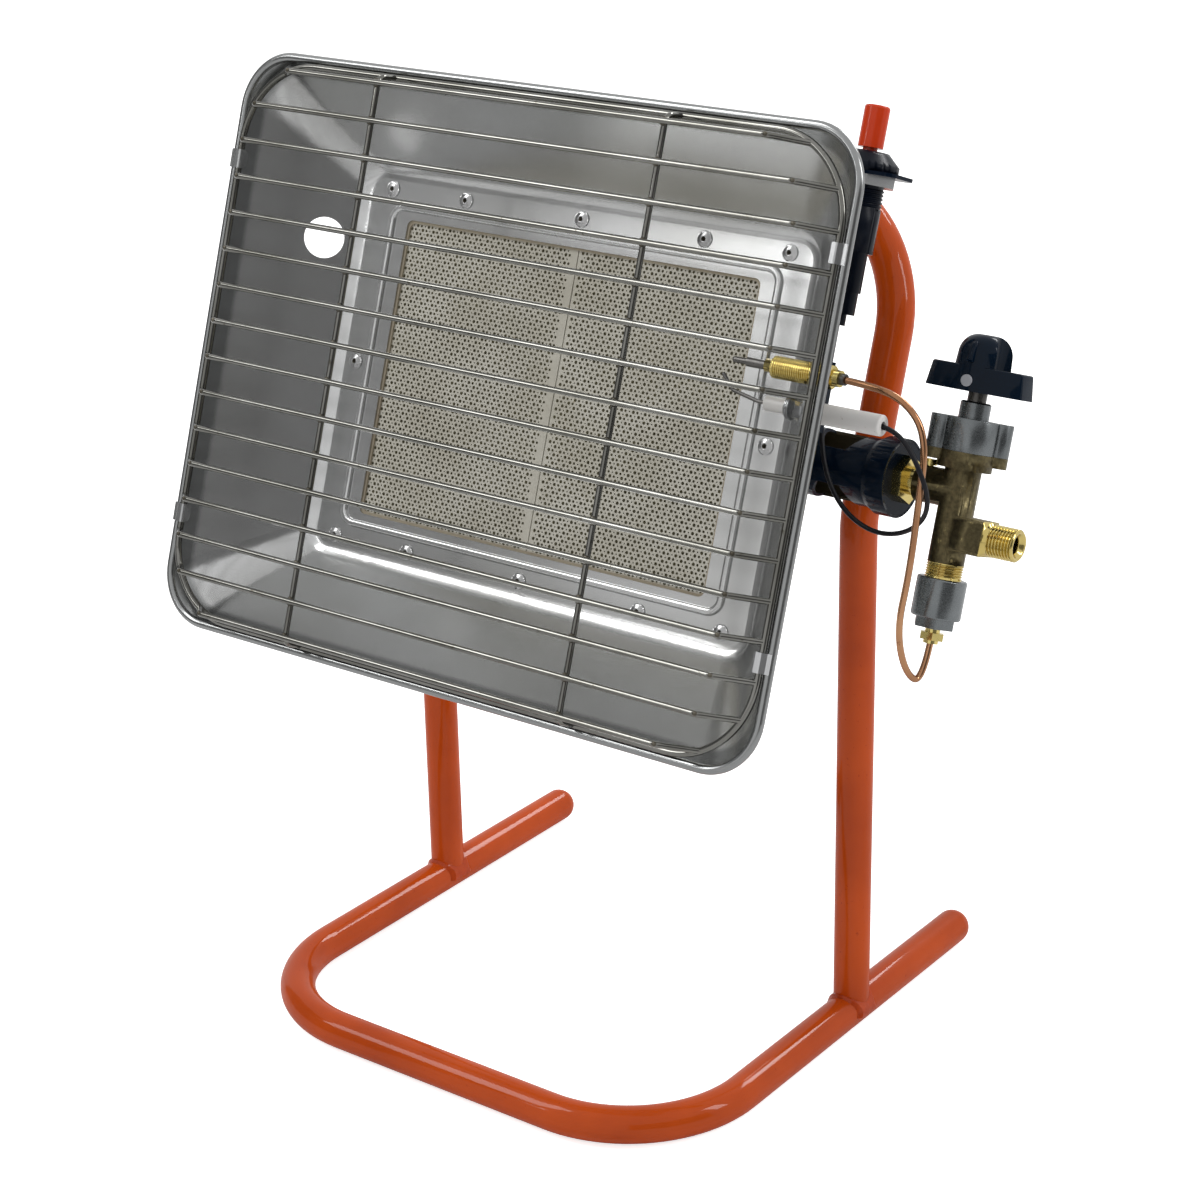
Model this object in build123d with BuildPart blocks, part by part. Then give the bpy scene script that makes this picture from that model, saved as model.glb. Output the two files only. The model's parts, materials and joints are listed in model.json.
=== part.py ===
import os
from math import cos, pi, radians, sin, sqrt

from build123d import *

os.makedirs("parts", exist_ok=True)

# ---------------------------------------------------------------- stand
tube_d = 16
tube_r = tube_d / 2
leg_half_span = 116.9
leg_half_length = 118.4
base_bend_r = 58.4
upright_y = 27.8
kink_z = 241.9
kink_bend_r = 45
lean_length = 135.8
lean = 19
hoop_corner_r = 59
weld_size = 1.6
weld_toe = 0.4

# ---------------------------------------------------------------- fits
seat_gap = 0.3
running_gap = 0.05
drop_in_gap = 0.25
cope_gap = 0.03

# ---------------------------------------------------------------- reflector
sheet = 0.8
rim_half_w = 157
rim_half_h = 126
rim_roll_d = 4
rim_corner_r = 25
dish_depth = 45
floor_half_w = 118
floor_half_h = 85
floor_corner_r = 12
floor_bend_r = 8
ring_half_w = 100.5
ring_half_h = 70
ring_w = 3.5
ring_h = 1.5
ring_corner_r = 6
window_half_w = 92
window_half_h = 65
window_corner_r = 3
peep_d = 18
peep_v = 51
peep_level = -33

# ---------------------------------------------------------------- burner
gasket_t = 1
gasket_lip = 1
tile_w = 96.75
tile_h = 139
tile_t = 13
tile_joint = 0.5
housing_sheet = 1
flange_half_w = 112
flange_half_h = 81
ledge_w = 10
plenum_depth = 31.7
plenum_draft = 8
plenum_corner_r = 10
rivet_d = 3.2
rivet_head_d = 7
rivet_head_t = 1.3
rivet_mouth_d = 2
rivet_tail_t = 3
rivet_row_v = 77
rivet_outer_u = 103
rivet_inner_u = 62
rivet_side_u = 108

# ---------------------------------------------------------------- head mounting
head_rise = 24.2
plate_t = 2.5
plate_half_w = 45
plate_drop = 45
bracket_t = 2
bracket_h = 11.3
bracket_half_len = 35
bracket_crown = 25
bracket_foot = 14
bolt_d = 6
bolt_head_t = 4
bolt_head_af = 10
bolt_nut_t = 5
bolt_u = 22

# ---------------------------------------------------------------- grille
wire_d = 2.5
frame_wire_d = 3
wire_rows = 16
first_wire_inset = 9
grille_front = 16.5
post_u = 72.5
crank_run = 12.3
crank_bend_r = 4
frame_wire_inset = 5.2
frame_wire_level = 2.1
frame_wire_corner_r = 35
weld_sink = 0.3
clip_t = 0.8
clip_w = 8
clip_drop = 4.6
clip_bend_r = 0.9
clip_tip_r = 3
clip_gap_row = 5

# ---------------------------------------------------------------- mixing tube and gas valve
mix_d = 28
mix_wall = 1.2
mix_v = -3
mix_level = -76
mix_in_plenum = 8
air_gap_start = 117.5
air_gap_top = 20.5
air_gap_bottom = 10.5
air_gap_deep = 6.8
air_gap_back = 4
flare_start = 143
flare_len = 4
collar_d = 32
collar_len = 7.5
disc_t = 1.5
jet_af = 17
jet_hex_t = 4
jet_spigot_d = 8
jet_spigot_len = 16
jet_bore_d = 1.2
neck_d = 14.8
neck_gap = 4
neck_reach = 21.9
stub_d = 11.4
stub_len = 8
cast_d = 14.6
cast_top = 5.5
step_d = 22
step_t = 2.5
flange_t = 4.3
lobe_d = 22.8
ear_d = 9.6
ear_reach = 11.6
ear_turn = 32
bonnet_t = 13.2
ear_screw_d = 3
ear_screw_head_d = 5.6
sleeve_d = 12.2
sleeve_t = 6.8
spindle_d = 7.6
key_d = 5
key_flat = 1.9
plug_d = 11
plug_top = 12
plug_bottom = -16
push_travel = 5
inlet_v = -19.5
boss_side = 14
boss_reach = 16.4
boss_pad_w = 7.3
boss_pad_h = 12.6
boss_pad_t = 0.6
inlet_thread_d = 13.157
inlet_thread_len = 13.5
inlet_bore_d = 6
inlet_cone_d = 10.4
cap_thread_d = 15
cap_thread_start = -32
cap_start = -38
cap_thread_depth = 6
cap_d = 20
cap_len = 16
cap_hex_af = 15
cap_hex_t = 4
magnet_d = 10.6
magnet_stem_d = 7
union_af = 9
union_neck_d = 6
union_len = 6
test_screw_back = 14.9
test_screw_d = 5.6

# ---------------------------------------------------------------- knob
knob_bottom = 36
wing_span = 42.6
wing_end_w = 11
wing_bulge = 6.6
wing_end_r = 2.5
wing_h = 10
wing_draft = 8
dome_d = 24
dome_draft = 4
dome_top = 58.7
dome_round = 8
scoop_u = 14.2
scoop_r = 9.2
knob_wall = 1.9
hub_d = 11.4
hub_bottom = 37.8
spindle_top = 44

# ---------------------------------------------------------------- flame sensor, electrode, igniter
sensor_level = -30
probe_v = 32
probe_tip_u = 95
probe_tip_len = 16
probe_tip_d = 3.8
probe_point_d = 2.6
probe_point_len = 7
probe_neck_d = 5.4
probe_thread_u = 115
probe_thread_d = 9
probe_spigot_d = 5.4
probe_nut_af = 8
probe_nut_t = 4.5
probe_step_d = 6.6
probe_step_t = 3
ferrule_d = 4.6
ferrule_t = 2.2
capillary_d = 2.8
bracket_top_level = -23.55
bracket_plate_t = 1.5
bracket_over_probe = 5.8
bracket_under_ceramic = 7.5
bracket_leg_drop = 7
electrode_v = 17.5
ceramic_tip_u = 114
ceramic_tip_d = 6
ceramic_d = 8.4
ceramic_end_u = 167
ceramic_bore_d = 3.4
ceramic_bore_len = 6
electrode_d = 1.6
electrode_run = 4
electrode_reach = 12.5
electrode_rise = 2.5
electrode_hook = 5.8
clamp_t = 1.5
clamp_w = 12
clamp_rise = 7.1
clamp_screw_tail = 1
clamp_screw_d = 3
clamp_screw_af = 5.5
lead_d = 2
igniter_u = 118.5
igniter_level = -65
barrel_d = 17.5
barrel_len = 32
barrel_neck_len = 16
tab_below_rim = 12
tab_t = 1.5
tab_reach = 17.6
tab_half_w = 11
leg_foot_inner = 6
leg_foot_outer = 8
leg_taper_drop = 14
bezel_d = 26
bezel_h = 8
bezel_rim_t = 3.2
bezel_top_d = 16
igniter_nut_af = 24
igniter_nut_t = 4
button_d = 10.3
button_rise = 26.3
button_len = 16.8
button_travel = 8
button_stem_d = 6
terminal_d = 12
terminal_drop = 29.6
terminal_pin_len = 4.6

# ---------------------------------------------------------------- frames of reference
# The hoop leans back above its kink, and the head lies parallel to it. In the head's own frame U runs
# to the valve side, V up the face and N out of the face, with N = 0 at the rim.
tilt = radians(lean)
stack = dish_depth + sheet + gasket_t + tile_t
housing_back = stack + housing_sheet + plenum_depth
hoop_n = -(housing_back + bracket_h + plate_t + tube_r)
hoop_plane = Plane(origin=(0, upright_y, kink_z), x_dir=(1, 0, 0), z_dir=(0, -cos(tilt), sin(tilt)))
head = Plane(
    origin=hoop_plane.from_local_coords((0, head_rise, -hoop_n)),
    x_dir=hoop_plane.x_dir,
    z_dir=hoop_plane.z_dir,
)
across = Axis(head.origin, head.x_dir)
upwards = Axis(head.origin, head.y_dir)
outwards = Axis(head.origin, head.z_dir)


def head_point(u, v, n):
    return head.from_local_coords((u, v, n))


# Sketch planes in the head: facing out of it, looking along U (x = V, y = N) and along V (x = U, y = -N)
def facing(n, u=0, v=0):
    return Plane(origin=head_point(u, v, n), x_dir=head.x_dir, z_dir=head.z_dir)


def sideways(u, v=0, n=0):
    return Plane(origin=head_point(u, v, n), x_dir=head.y_dir, z_dir=head.x_dir)


def standing(v, u=0, n=0):
    return Plane(origin=head_point(u, v, n), x_dir=head.x_dir, z_dir=head.y_dir)


# Stepped round bar: each step is (start, end, diameter) along the plane's normal
def turned(plane, steps, mode=Mode.ADD):
    for start, end, diameter in steps:
        with BuildSketch(plane.offset(start)) as outline:
            Circle(diameter / 2)
        extrude(outline.sketch, amount=end - start, mode=mode)


def hex_prism(plane, start, end, flats, turn=0, mode=Mode.ADD):
    with BuildSketch(plane.offset(start)) as outline:
        RegularPolygon(radius=flats / 2, side_count=6, major_radius=False, rotation=turn)
    extrude(outline.sketch, amount=end - start, mode=mode)


# Round rod or wire along straight runs joined by arcs
def bent_rod(points, radii, diameter):
    with BuildLine() as route:
        FilletPolyline(*points, radius=radii)
    with BuildSketch(Plane(origin=route.line @ 0, z_dir=route.line % 0)) as section:
        Circle(diameter / 2)
    sweep(section.sketch, path=route.line)


# Each corner's arc takes up at most 0.45 of its shorter run
def corner_radii(points):
    radii = []
    for before, at, after in zip(points, points[1:], points[2:]):
        into = Vector(*at) - Vector(*before)
        out_of = Vector(*after) - Vector(*at)
        turn = radians(into.get_angle(out_of))
        radii.append(0.45 * min(into.length, out_of.length) * cos(turn / 2) / sin(turn / 2))
    return radii


# ================================================================ stand
base_points = [
    (-leg_half_span, leg_half_length, tube_r),
    (-leg_half_span, -leg_half_length, tube_r),
    (leg_half_span, -leg_half_length, tube_r),
    (leg_half_span, leg_half_length, tube_r),
]
with BuildPart() as base_frame:
    bent_rod(base_points, base_bend_r, tube_d)
    with Locations(base_points[0], base_points[-1]):
        Sphere(tube_r)
base_frame.part.label = "base_frame"
export_step(base_frame.part, "parts/base_frame.step")

hoop_top = hoop_plane.from_local_coords((0, lean_length, 0))
hoop_points = [
    (leg_half_span, upright_y, tube_r),
    (leg_half_span, upright_y, kink_z),
    (leg_half_span, hoop_top.Y, hoop_top.Z),
    (-leg_half_span, hoop_top.Y, hoop_top.Z),
    (-leg_half_span, upright_y, kink_z),
    (-leg_half_span, upright_y, tube_r),
]
# The uprights' feet are coped to sit on the base tube
with BuildPart() as upright_hoop:
    bent_rod(hoop_points, [kink_bend_r, hoop_corner_r, hoop_corner_r, kink_bend_r], tube_d)
    for side in (-1, 1):
        with Locations(Plane(origin=(side * leg_half_span, upright_y, tube_r), z_dir=(0, 1, 0))):
            Cylinder(tube_r + cope_gap, 3 * tube_d, mode=Mode.SUBTRACT)
upright_hoop.part.label = "upright_hoop"
export_step(upright_hoop.part, "parts/upright_hoop.step")

# Saddle-shaped bead that wraps each coped foot
with BuildPart() as weld_beads:
    for side in (-1, 1):
        with Locations((side * leg_half_span, upright_y, tube_r)):
            Cone(
                tube_r + 2 * weld_size,
                tube_r + weld_toe,
                tube_r + weld_size,
                align=(Align.CENTER, Align.CENTER, Align.MIN),
            )
    feet = [(side * leg_half_span, upright_y, tube_r) for side in (-1, 1)]
    with Locations(*feet):
        Cylinder(tube_r + cope_gap, 3 * tube_d, mode=Mode.SUBTRACT)
    with Locations(*[Plane(origin=foot, z_dir=(0, 1, 0)) for foot in feet]):
        Cylinder(tube_r + cope_gap, 3 * tube_d, mode=Mode.SUBTRACT)
    with Locations(*[Plane(origin=foot, z_dir=(0, 1, 0)) for foot in feet]):
        Cylinder(tube_r + weld_size, 3 * tube_d, mode=Mode.INTERSECT)
weld_beads.part.label = "weld_beads"
export_step(weld_beads.part, "parts/weld_beads.step")

# ================================================================ reflector
mouth_half_w = rim_half_w - rim_roll_d
mouth_half_h = rim_half_h - rim_roll_d
mouth_corner_r = rim_corner_r - rim_roll_d
run_w = mouth_half_w - floor_half_w
run_h = mouth_half_h - floor_half_h
wall_slope = sqrt(dish_depth**2 + run_w**2)
skin_w = sheet * wall_slope / dish_depth
skin_h = sheet * sqrt(dish_depth**2 + run_h**2) / dish_depth


def dish_half_w(n):
    return mouth_half_w + run_w * n / dish_depth


def dish_half_h(n):
    return mouth_half_h + run_h * n / dish_depth


# Rounded rectangle across the dish at n, its inner face for no skin and its outer face for the sheet's
def dish_section(n, skin_u=0, skin_v=0):
    corner = mouth_corner_r + (mouth_corner_r - floor_corner_r) * n / dish_depth
    with BuildSketch(facing(n)) as outline:
        RectangleRounded(
            2 * (dish_half_w(n) + skin_u),
            2 * (dish_half_h(n) + skin_v),
            corner + (skin_u + skin_v) / 2,
        )
    return outline.sketch.face()


# Plane on the dish's sloping inner face, facing into the dish (x = V, -y = up the slope)
def on_wall(side, v, n):
    normal = head.x_dir * (-side * dish_depth / wall_slope) + head.z_dir * (run_w / wall_slope)
    return Plane(origin=head_point(side * dish_half_w(n), v, n), x_dir=head.y_dir, z_dir=normal)


rivet_row_u = (-rivet_outer_u, -rivet_inner_u, 0, rivet_inner_u, rivet_outer_u)
rivet_spots = [(u, side * rivet_row_v) for side in (-1, 1) for u in rivet_row_u]
rivet_spots += [(side * rivet_side_u, 0) for side in (-1, 1)]
igniter_rivet = (rivet_row_u[-1], rivet_row_v)
probe_hole_d = probe_thread_d + 2 * drop_in_gap
ceramic_hole_d = ceramic_tip_d + 2 * drop_in_gap
clamp_reach = clamp_rise * wall_slope / dish_depth

with BuildPart() as dish_space:
    loft([dish_section(-dish_depth), dish_section(0)], ruled=True)
    fillet(dish_space.faces().sort_by(outwards)[0].edges(), floor_bend_r)

with BuildPart() as reflector:
    loft([dish_section(-dish_depth - sheet, skin_w, skin_h), dish_section(0, skin_w, skin_h)], ruled=True)
    fillet(reflector.faces().sort_by(outwards)[0].edges(), floor_bend_r + sheet)
    add(dish_space.part, mode=Mode.SUBTRACT)
    # Rolled rim
    roll_w = rim_half_w - rim_roll_d / 2
    roll_h = rim_half_h - rim_roll_d / 2
    with BuildLine(head) as roll:
        FilletPolyline(
            (-roll_w, -roll_h),
            (roll_w, -roll_h),
            (roll_w, roll_h),
            (-roll_w, roll_h),
            radius=rim_corner_r - rim_roll_d / 2,
            close=True,
        )
    with BuildSketch(Plane(origin=roll.line @ 0, z_dir=roll.line % 0)):
        Circle(rim_roll_d / 2)
    sweep(path=roll.line)
    # Pressed ring round the window, raised in front and hollow behind
    with BuildSketch(facing(-dish_depth)):
        RectangleRounded(2 * ring_half_w + ring_w, 2 * ring_half_h + ring_w, ring_corner_r + ring_w / 2)
        RectangleRounded(
            2 * ring_half_w - ring_w,
            2 * ring_half_h - ring_w,
            ring_corner_r - ring_w / 2,
            mode=Mode.SUBTRACT,
        )
    extrude(amount=ring_h)
    ring_crest = reflector.faces().filter_by(
        lambda f: abs(head.to_local_coords(f.center()).Z + dish_depth - ring_h) < 0.01
    )
    fillet(ring_crest.edges(), 0.9 * ring_h)
    groove_w = ring_w - 2 * sheet
    with BuildSketch(facing(-dish_depth - sheet)):
        RectangleRounded(2 * ring_half_w + groove_w, 2 * ring_half_h + groove_w, ring_corner_r + groove_w / 2)
        RectangleRounded(
            2 * ring_half_w - groove_w,
            2 * ring_half_h - groove_w,
            ring_corner_r - groove_w / 2,
            mode=Mode.SUBTRACT,
        )
    extrude(amount=ring_h, mode=Mode.SUBTRACT)
    # Window and rivet holes
    with BuildSketch(facing(-dish_depth - sheet)):
        RectangleRounded(2 * window_half_w, 2 * window_half_h, window_corner_r)
        with Locations(*rivet_spots):
            Circle(rivet_d / 2 + running_gap)
    extrude(amount=2 * sheet, mode=Mode.SUBTRACT)
    # Peep hole in the left wall, sensor and electrode holes in the right one
    turned(on_wall(-1, peep_v, peep_level), [(-4, 4, peep_d)], mode=Mode.SUBTRACT)
    turned(
        sideways(0, probe_v, sensor_level),
        [(floor_half_w, mouth_half_w, probe_hole_d)],
        mode=Mode.SUBTRACT,
    )
    turned(
        sideways(0, electrode_v, sensor_level),
        [(floor_half_w, mouth_half_w, ceramic_hole_d)],
        mode=Mode.SUBTRACT,
    )
    # Hole for the electrode clamp's screw, up the slope from the electrode
    with Locations(on_wall(1, electrode_v, sensor_level) * Location((0, -clamp_reach, 0))):
        Cylinder(clamp_screw_d / 2 + running_gap, 4 * sheet, mode=Mode.SUBTRACT)
reflector.part.label = "reflector"
export_step(reflector.part, "parts/reflector.step")

# ================================================================ burner
floor_back = -(dish_depth + sheet)
gasket_back = floor_back - gasket_t
tile_back = gasket_back - tile_t
pair_half_w = tile_w + tile_joint / 2
gasket_half_w = pair_half_w + drop_in_gap
gasket_half_h = tile_h / 2 + drop_in_gap

with BuildPart() as tile_gasket:
    with BuildSketch(facing(gasket_back)):
        Rectangle(2 * gasket_half_w, 2 * gasket_half_h)
        RectangleRounded(
            2 * (window_half_w - gasket_lip),
            2 * (window_half_h - gasket_lip),
            window_corner_r,
            mode=Mode.SUBTRACT,
        )
    extrude(amount=gasket_t)
tile_gasket.part.label = "tile_gasket"
export_step(tile_gasket.part, "parts/tile_gasket.step")


def tile_block(side):
    with BuildSketch(facing(tile_back, side * (tile_w + tile_joint) / 2)) as outline:
        Rectangle(tile_w, tile_h)
    extrude(outline.sketch, amount=tile_t)


with BuildPart() as ceramic_tile_left:
    tile_block(-1)
    chamfer(ceramic_tile_left.faces().sort_by(outwards)[-1].edges(), 0.6)
ceramic_tile_left.part.label = "ceramic_tile_left"
export_step(ceramic_tile_left.part, "parts/ceramic_tile_left.step")

with BuildPart() as ceramic_tile_right:
    tile_block(1)
    chamfer(ceramic_tile_right.faces().sort_by(outwards)[-1].edges(), 0.6)
ceramic_tile_right.part.label = "ceramic_tile_right"
export_step(ceramic_tile_right.part, "parts/ceramic_tile_right.step")

# Pressed tray behind the reflector: flange, tile holder with a ledge, and the gas-air plenum
holder_half_w = gasket_half_w + drop_in_gap
holder_half_h = gasket_half_h + drop_in_gap
plenum_half_w = holder_half_w - ledge_w
plenum_half_h = holder_half_h - ledge_w
plenum_back_n = tile_back - housing_sheet - plenum_depth
with BuildPart() as burner_housing:
    with BuildSketch(facing(floor_back - housing_sheet)):
        RectangleRounded(2 * flange_half_w, 2 * flange_half_h, floor_corner_r)
    extrude(amount=housing_sheet)
    with BuildSketch(facing(tile_back - housing_sheet)):
        Rectangle(2 * (holder_half_w + housing_sheet), 2 * (holder_half_h + housing_sheet))
    extrude(amount=stack - dish_depth - sheet + housing_sheet)
    fillet(burner_housing.edges().filter_by(outwards).group_by(SortBy.LENGTH)[-1], 3)
    with BuildSketch(facing(tile_back - housing_sheet)):
        RectangleRounded(2 * plenum_half_w, 2 * plenum_half_h, plenum_corner_r)
    extrude(amount=-plenum_depth, taper=plenum_draft)
    fillet(burner_housing.faces().sort_by(outwards)[0].edges(), 3)
    with BuildSketch(facing(tile_back)):
        Rectangle(2 * holder_half_w, 2 * holder_half_h)
    extrude(amount=stack, mode=Mode.SUBTRACT)
    with BuildSketch(facing(tile_back)):
        RectangleRounded(
            2 * (plenum_half_w - housing_sheet),
            2 * (plenum_half_h - housing_sheet),
            plenum_corner_r - housing_sheet,
        )
    extrude(amount=-plenum_depth, taper=plenum_draft, mode=Mode.SUBTRACT)
    turned(sideways(0, mix_v, mix_level), [(0, plenum_half_w + 5, mix_d + 2 * running_gap)], mode=Mode.SUBTRACT)
    with BuildSketch(facing(floor_back - housing_sheet)):
        with Locations(*rivet_spots):
            Circle(rivet_d / 2 + running_gap)
    extrude(amount=housing_sheet, mode=Mode.SUBTRACT)
burner_housing.part.label = "burner_housing"
export_step(burner_housing.part, "parts/burner_housing.step")

# Blind rivets: domed head with an open mandrel hole, shank and upset tail
with BuildPart() as burner_rivets:
    for u, v in rivet_spots:
        spot = facing(-dish_depth, u, v)
        grip = sheet + housing_sheet + (tab_t if (u, v) == igniter_rivet else 0)
        turned(spot, [(0, rivet_head_t, rivet_head_d), (-grip, 0, rivet_d), (-grip - rivet_tail_t, -grip, 4.6)])
    rims = burner_rivets.edges().filter_by(GeomType.CIRCLE).filter_by(
        lambda e: abs(e.radius - rivet_head_d / 2) < 0.01
    )
    crowns = rims.filter_by(lambda e: head.to_local_coords(e.center()).Z > 0.5 * rivet_head_t - dish_depth)
    chamfer(crowns, 0.6 * rivet_head_t, 0.3 * rivet_head_d)
    with BuildSketch(facing(-dish_depth + rivet_head_t)):
        with Locations(*rivet_spots):
            Circle(rivet_mouth_d / 2)
    extrude(amount=-rivet_head_t - sheet, mode=Mode.SUBTRACT)
burner_rivets.part.label = "burner_rivets"
export_step(burner_rivets.part, "parts/burner_rivets.step")

# ================================================================ head mounting
crown_back = -(housing_back + bracket_h)
plate_back = crown_back - plate_t
bolt_spots = [(-bolt_u, 0), (bolt_u, 0)]

# Hat-section bracket between the plenum's back and the hanger plate
with BuildPart() as rear_bracket:
    with BuildSketch(sideways(-bracket_half_len)):
        with BuildLine():
            Polyline(
                (bracket_crown + bracket_foot, -housing_back),
                (bracket_crown + bracket_foot, -housing_back - bracket_t),
                (bracket_crown, -housing_back - bracket_t),
                (bracket_crown - bracket_t, crown_back),
                (-bracket_crown + bracket_t, crown_back),
                (-bracket_crown, -housing_back - bracket_t),
                (-bracket_crown - bracket_foot, -housing_back - bracket_t),
                (-bracket_crown - bracket_foot, -housing_back),
                (-bracket_crown + bracket_t, -housing_back),
                (-bracket_crown + 2 * bracket_t, crown_back + bracket_t),
                (bracket_crown - 2 * bracket_t, crown_back + bracket_t),
                (bracket_crown - bracket_t, -housing_back),
                close=True,
            )
        make_face()
    extrude(amount=2 * bracket_half_len)
    with BuildSketch(facing(crown_back)):
        with Locations(*bolt_spots):
            Circle(bolt_d / 2 + drop_in_gap)
    extrude(amount=bracket_t, mode=Mode.SUBTRACT)
rear_bracket.part.label = "rear_bracket"
export_step(rear_bracket.part, "parts/rear_bracket.step")

# Plate welded to the front of the hoop's top tube and hanging down behind the burner
crossbar_v = lean_length - head_rise
with BuildPart() as hanger_plate:
    with BuildSketch(facing(plate_back, 0, (crossbar_v - plate_drop) / 2)):
        RectangleRounded(2 * plate_half_w, crossbar_v + plate_drop, 8)
    extrude(amount=plate_t)
    with BuildSketch(facing(plate_back)):
        with Locations(*bolt_spots):
            Circle(bolt_d / 2 + drop_in_gap)
    extrude(amount=plate_t, mode=Mode.SUBTRACT)
hanger_plate.part.label = "hanger_plate"
export_step(hanger_plate.part, "parts/hanger_plate.step")

nut_face = crown_back + bracket_t
with BuildPart() as mount_bolts:
    for u, v in bolt_spots:
        spot = facing(0, u, v)
        hex_prism(spot, plate_back - bolt_head_t, plate_back, bolt_head_af)
        turned(spot, [(plate_back, nut_face + bolt_nut_t + 1, bolt_d)])
mount_bolts.part.label = "mount_bolts"
export_step(mount_bolts.part, "parts/mount_bolts.step")

with BuildPart() as mount_nuts:
    for u, v in bolt_spots:
        spot = facing(0, u, v)
        hex_prism(spot, nut_face, nut_face + bolt_nut_t, bolt_head_af)
        turned(spot, [(nut_face, nut_face + bolt_nut_t, bolt_d + 2 * running_gap)], mode=Mode.SUBTRACT)
mount_nuts.part.label = "mount_nuts"
export_step(mount_nuts.part, "parts/mount_nuts.step")

# ================================================================ grille
frame_half_w = rim_half_w - frame_wire_inset
frame_half_h = rim_half_h - frame_wire_inset
wire_n = grille_front - wire_d / 2
post_n = wire_n - wire_d + weld_sink
last_row = rim_half_h - first_wire_inset
wire_pitch = 2 * last_row / (wire_rows - 1)
arc_u = frame_half_w - frame_wire_corner_r
arc_v = frame_half_h - frame_wire_corner_r


# Half width of the perimeter wire at height v, following its corner arcs
def frame_u(v):
    if abs(v) <= arc_v:
        return frame_half_w
    return arc_u + sqrt(frame_wire_corner_r**2 - (abs(v) - arc_v) ** 2)


with BuildPart() as grille:
    with BuildLine(facing(frame_wire_level)) as frame_line:
        FilletPolyline(
            (-frame_half_w, -frame_half_h),
            (frame_half_w, -frame_half_h),
            (frame_half_w, frame_half_h),
            (-frame_half_w, frame_half_h),
            radius=frame_wire_corner_r,
            close=True,
        )
    with BuildSketch(Plane(origin=frame_line.line @ 0, z_dir=frame_line.line % 0)):
        Circle(frame_wire_d / 2)
    sweep(path=frame_line.line)
    for row in range(wire_rows):
        v = -last_row + row * wire_pitch
        end = frame_u(v)
        bent_rod(
            [
                head_point(-end, v, frame_wire_level),
                head_point(-end + crank_run, v, wire_n),
                head_point(end - crank_run, v, wire_n),
                head_point(end, v, frame_wire_level),
            ],
            crank_bend_r,
            wire_d,
        )
    for side in (-1, 1):
        bent_rod(
            [
                head_point(side * post_u, -frame_half_h, frame_wire_level),
                head_point(side * post_u, -last_row - wire_d, post_n),
                head_point(side * post_u, last_row + wire_d, post_n),
                head_point(side * post_u, frame_half_h, frame_wire_level),
            ],
            crank_bend_r,
            wire_d,
        )
grille.part.label = "grille"
export_step(grille.part, "parts/grille.step")

# Tongues that lie on the rolled rim and hook over the perimeter wire, with rounded ends
clip_top = frame_wire_level + frame_wire_d / 2 + seat_gap + clip_t / 2
clip_inner = frame_half_w - frame_wire_d / 2 - seat_gap - clip_t / 2
clip_end = clip_top - clip_drop
clip_seat = rim_roll_d / 2 + clip_t / 2 + cope_gap
clip_v = clip_gap_row * wire_pitch
with BuildPart() as grille_clips:
    for side in (-1, 1):
        for v in (-clip_v, clip_v):
            with BuildLine() as clip_line:
                FilletPolyline(
                    head_point(side * clip_inner, v, clip_end),
                    head_point(side * clip_inner, v, clip_top),
                    head_point(side * (frame_half_w + clip_t), v, clip_top),
                    head_point(side * (rim_half_w - 0.6 * rim_roll_d), v, clip_seat),
                    head_point(side * (rim_half_w - clip_t), v, clip_seat),
                    radius=clip_bend_r,
                )
            with BuildSketch(facing(clip_end, side * clip_inner, v)):
                Rectangle(clip_t, clip_w)
            sweep(path=clip_line.line)
    short_edges = grille_clips.edges().filter_by(lambda e: abs(e.length - clip_t) < 0.01)
    fillet(short_edges.filter_by(lambda e: head.to_local_coords(e.center()).Z < clip_end + 0.01), clip_tip_r)
grille_clips.part.label = "grille_clips"
export_step(grille_clips.part, "parts/grille_clips.step")

# ================================================================ mixing tube
collar_start = flare_start + flare_len
collar_end = collar_start + collar_len
mix_axis = sideways(0, mix_v, mix_level)
mix_start = plenum_half_w - mix_in_plenum
mix_bore = mix_d - 2 * mix_wall
collar_bore = collar_d - 2 * mix_wall
with BuildPart() as mixing_tube:
    with BuildSketch(facing(mix_level, 0, mix_v)):
        with BuildLine():
            Polyline(
                (mix_start, mix_bore / 2),
                (mix_start, mix_d / 2),
                (flare_start, mix_d / 2),
                (collar_start, collar_d / 2),
                (collar_end, collar_d / 2),
                (collar_end, collar_bore / 2),
                (collar_start, collar_bore / 2),
                (flare_start, mix_bore / 2),
                close=True,
            )
        make_face()
    revolve(axis=Axis(mix_axis.origin, head.x_dir))
    # Air windows in front, above and below
    with BuildSketch(facing(mix_level - air_gap_back, 0, mix_v)):
        for flip in (-1, 1):
            with BuildLine():
                Polyline(
                    (air_gap_start, flip * mix_d),
                    (air_gap_start, flip * mix_d / 2),
                    (air_gap_start + (air_gap_top - air_gap_bottom) / 2, flip * (mix_d / 2 - air_gap_deep)),
                    (air_gap_start + (air_gap_top + air_gap_bottom) / 2, flip * (mix_d / 2 - air_gap_deep)),
                    (air_gap_start + air_gap_top, flip * mix_d / 2),
                    (air_gap_start + air_gap_top, flip * mix_d),
                    close=True,
                )
            make_face()
    extrude(amount=mix_d, mode=Mode.SUBTRACT)
mixing_tube.part.label = "mixing_tube"
export_step(mixing_tube.part, "parts/mixing_tube.step")

with BuildPart() as mixing_tube_cover:
    turned(mix_axis, [(collar_end - disc_t, collar_end, collar_bore - 2 * running_gap)])
    turned(mix_axis, [(collar_end - disc_t, collar_end, jet_spigot_d + 2 * running_gap)], mode=Mode.SUBTRACT)
mixing_tube_cover.part.label = "mixing_tube_cover"
export_step(mixing_tube_cover.part, "parts/mixing_tube_cover.step")

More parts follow.
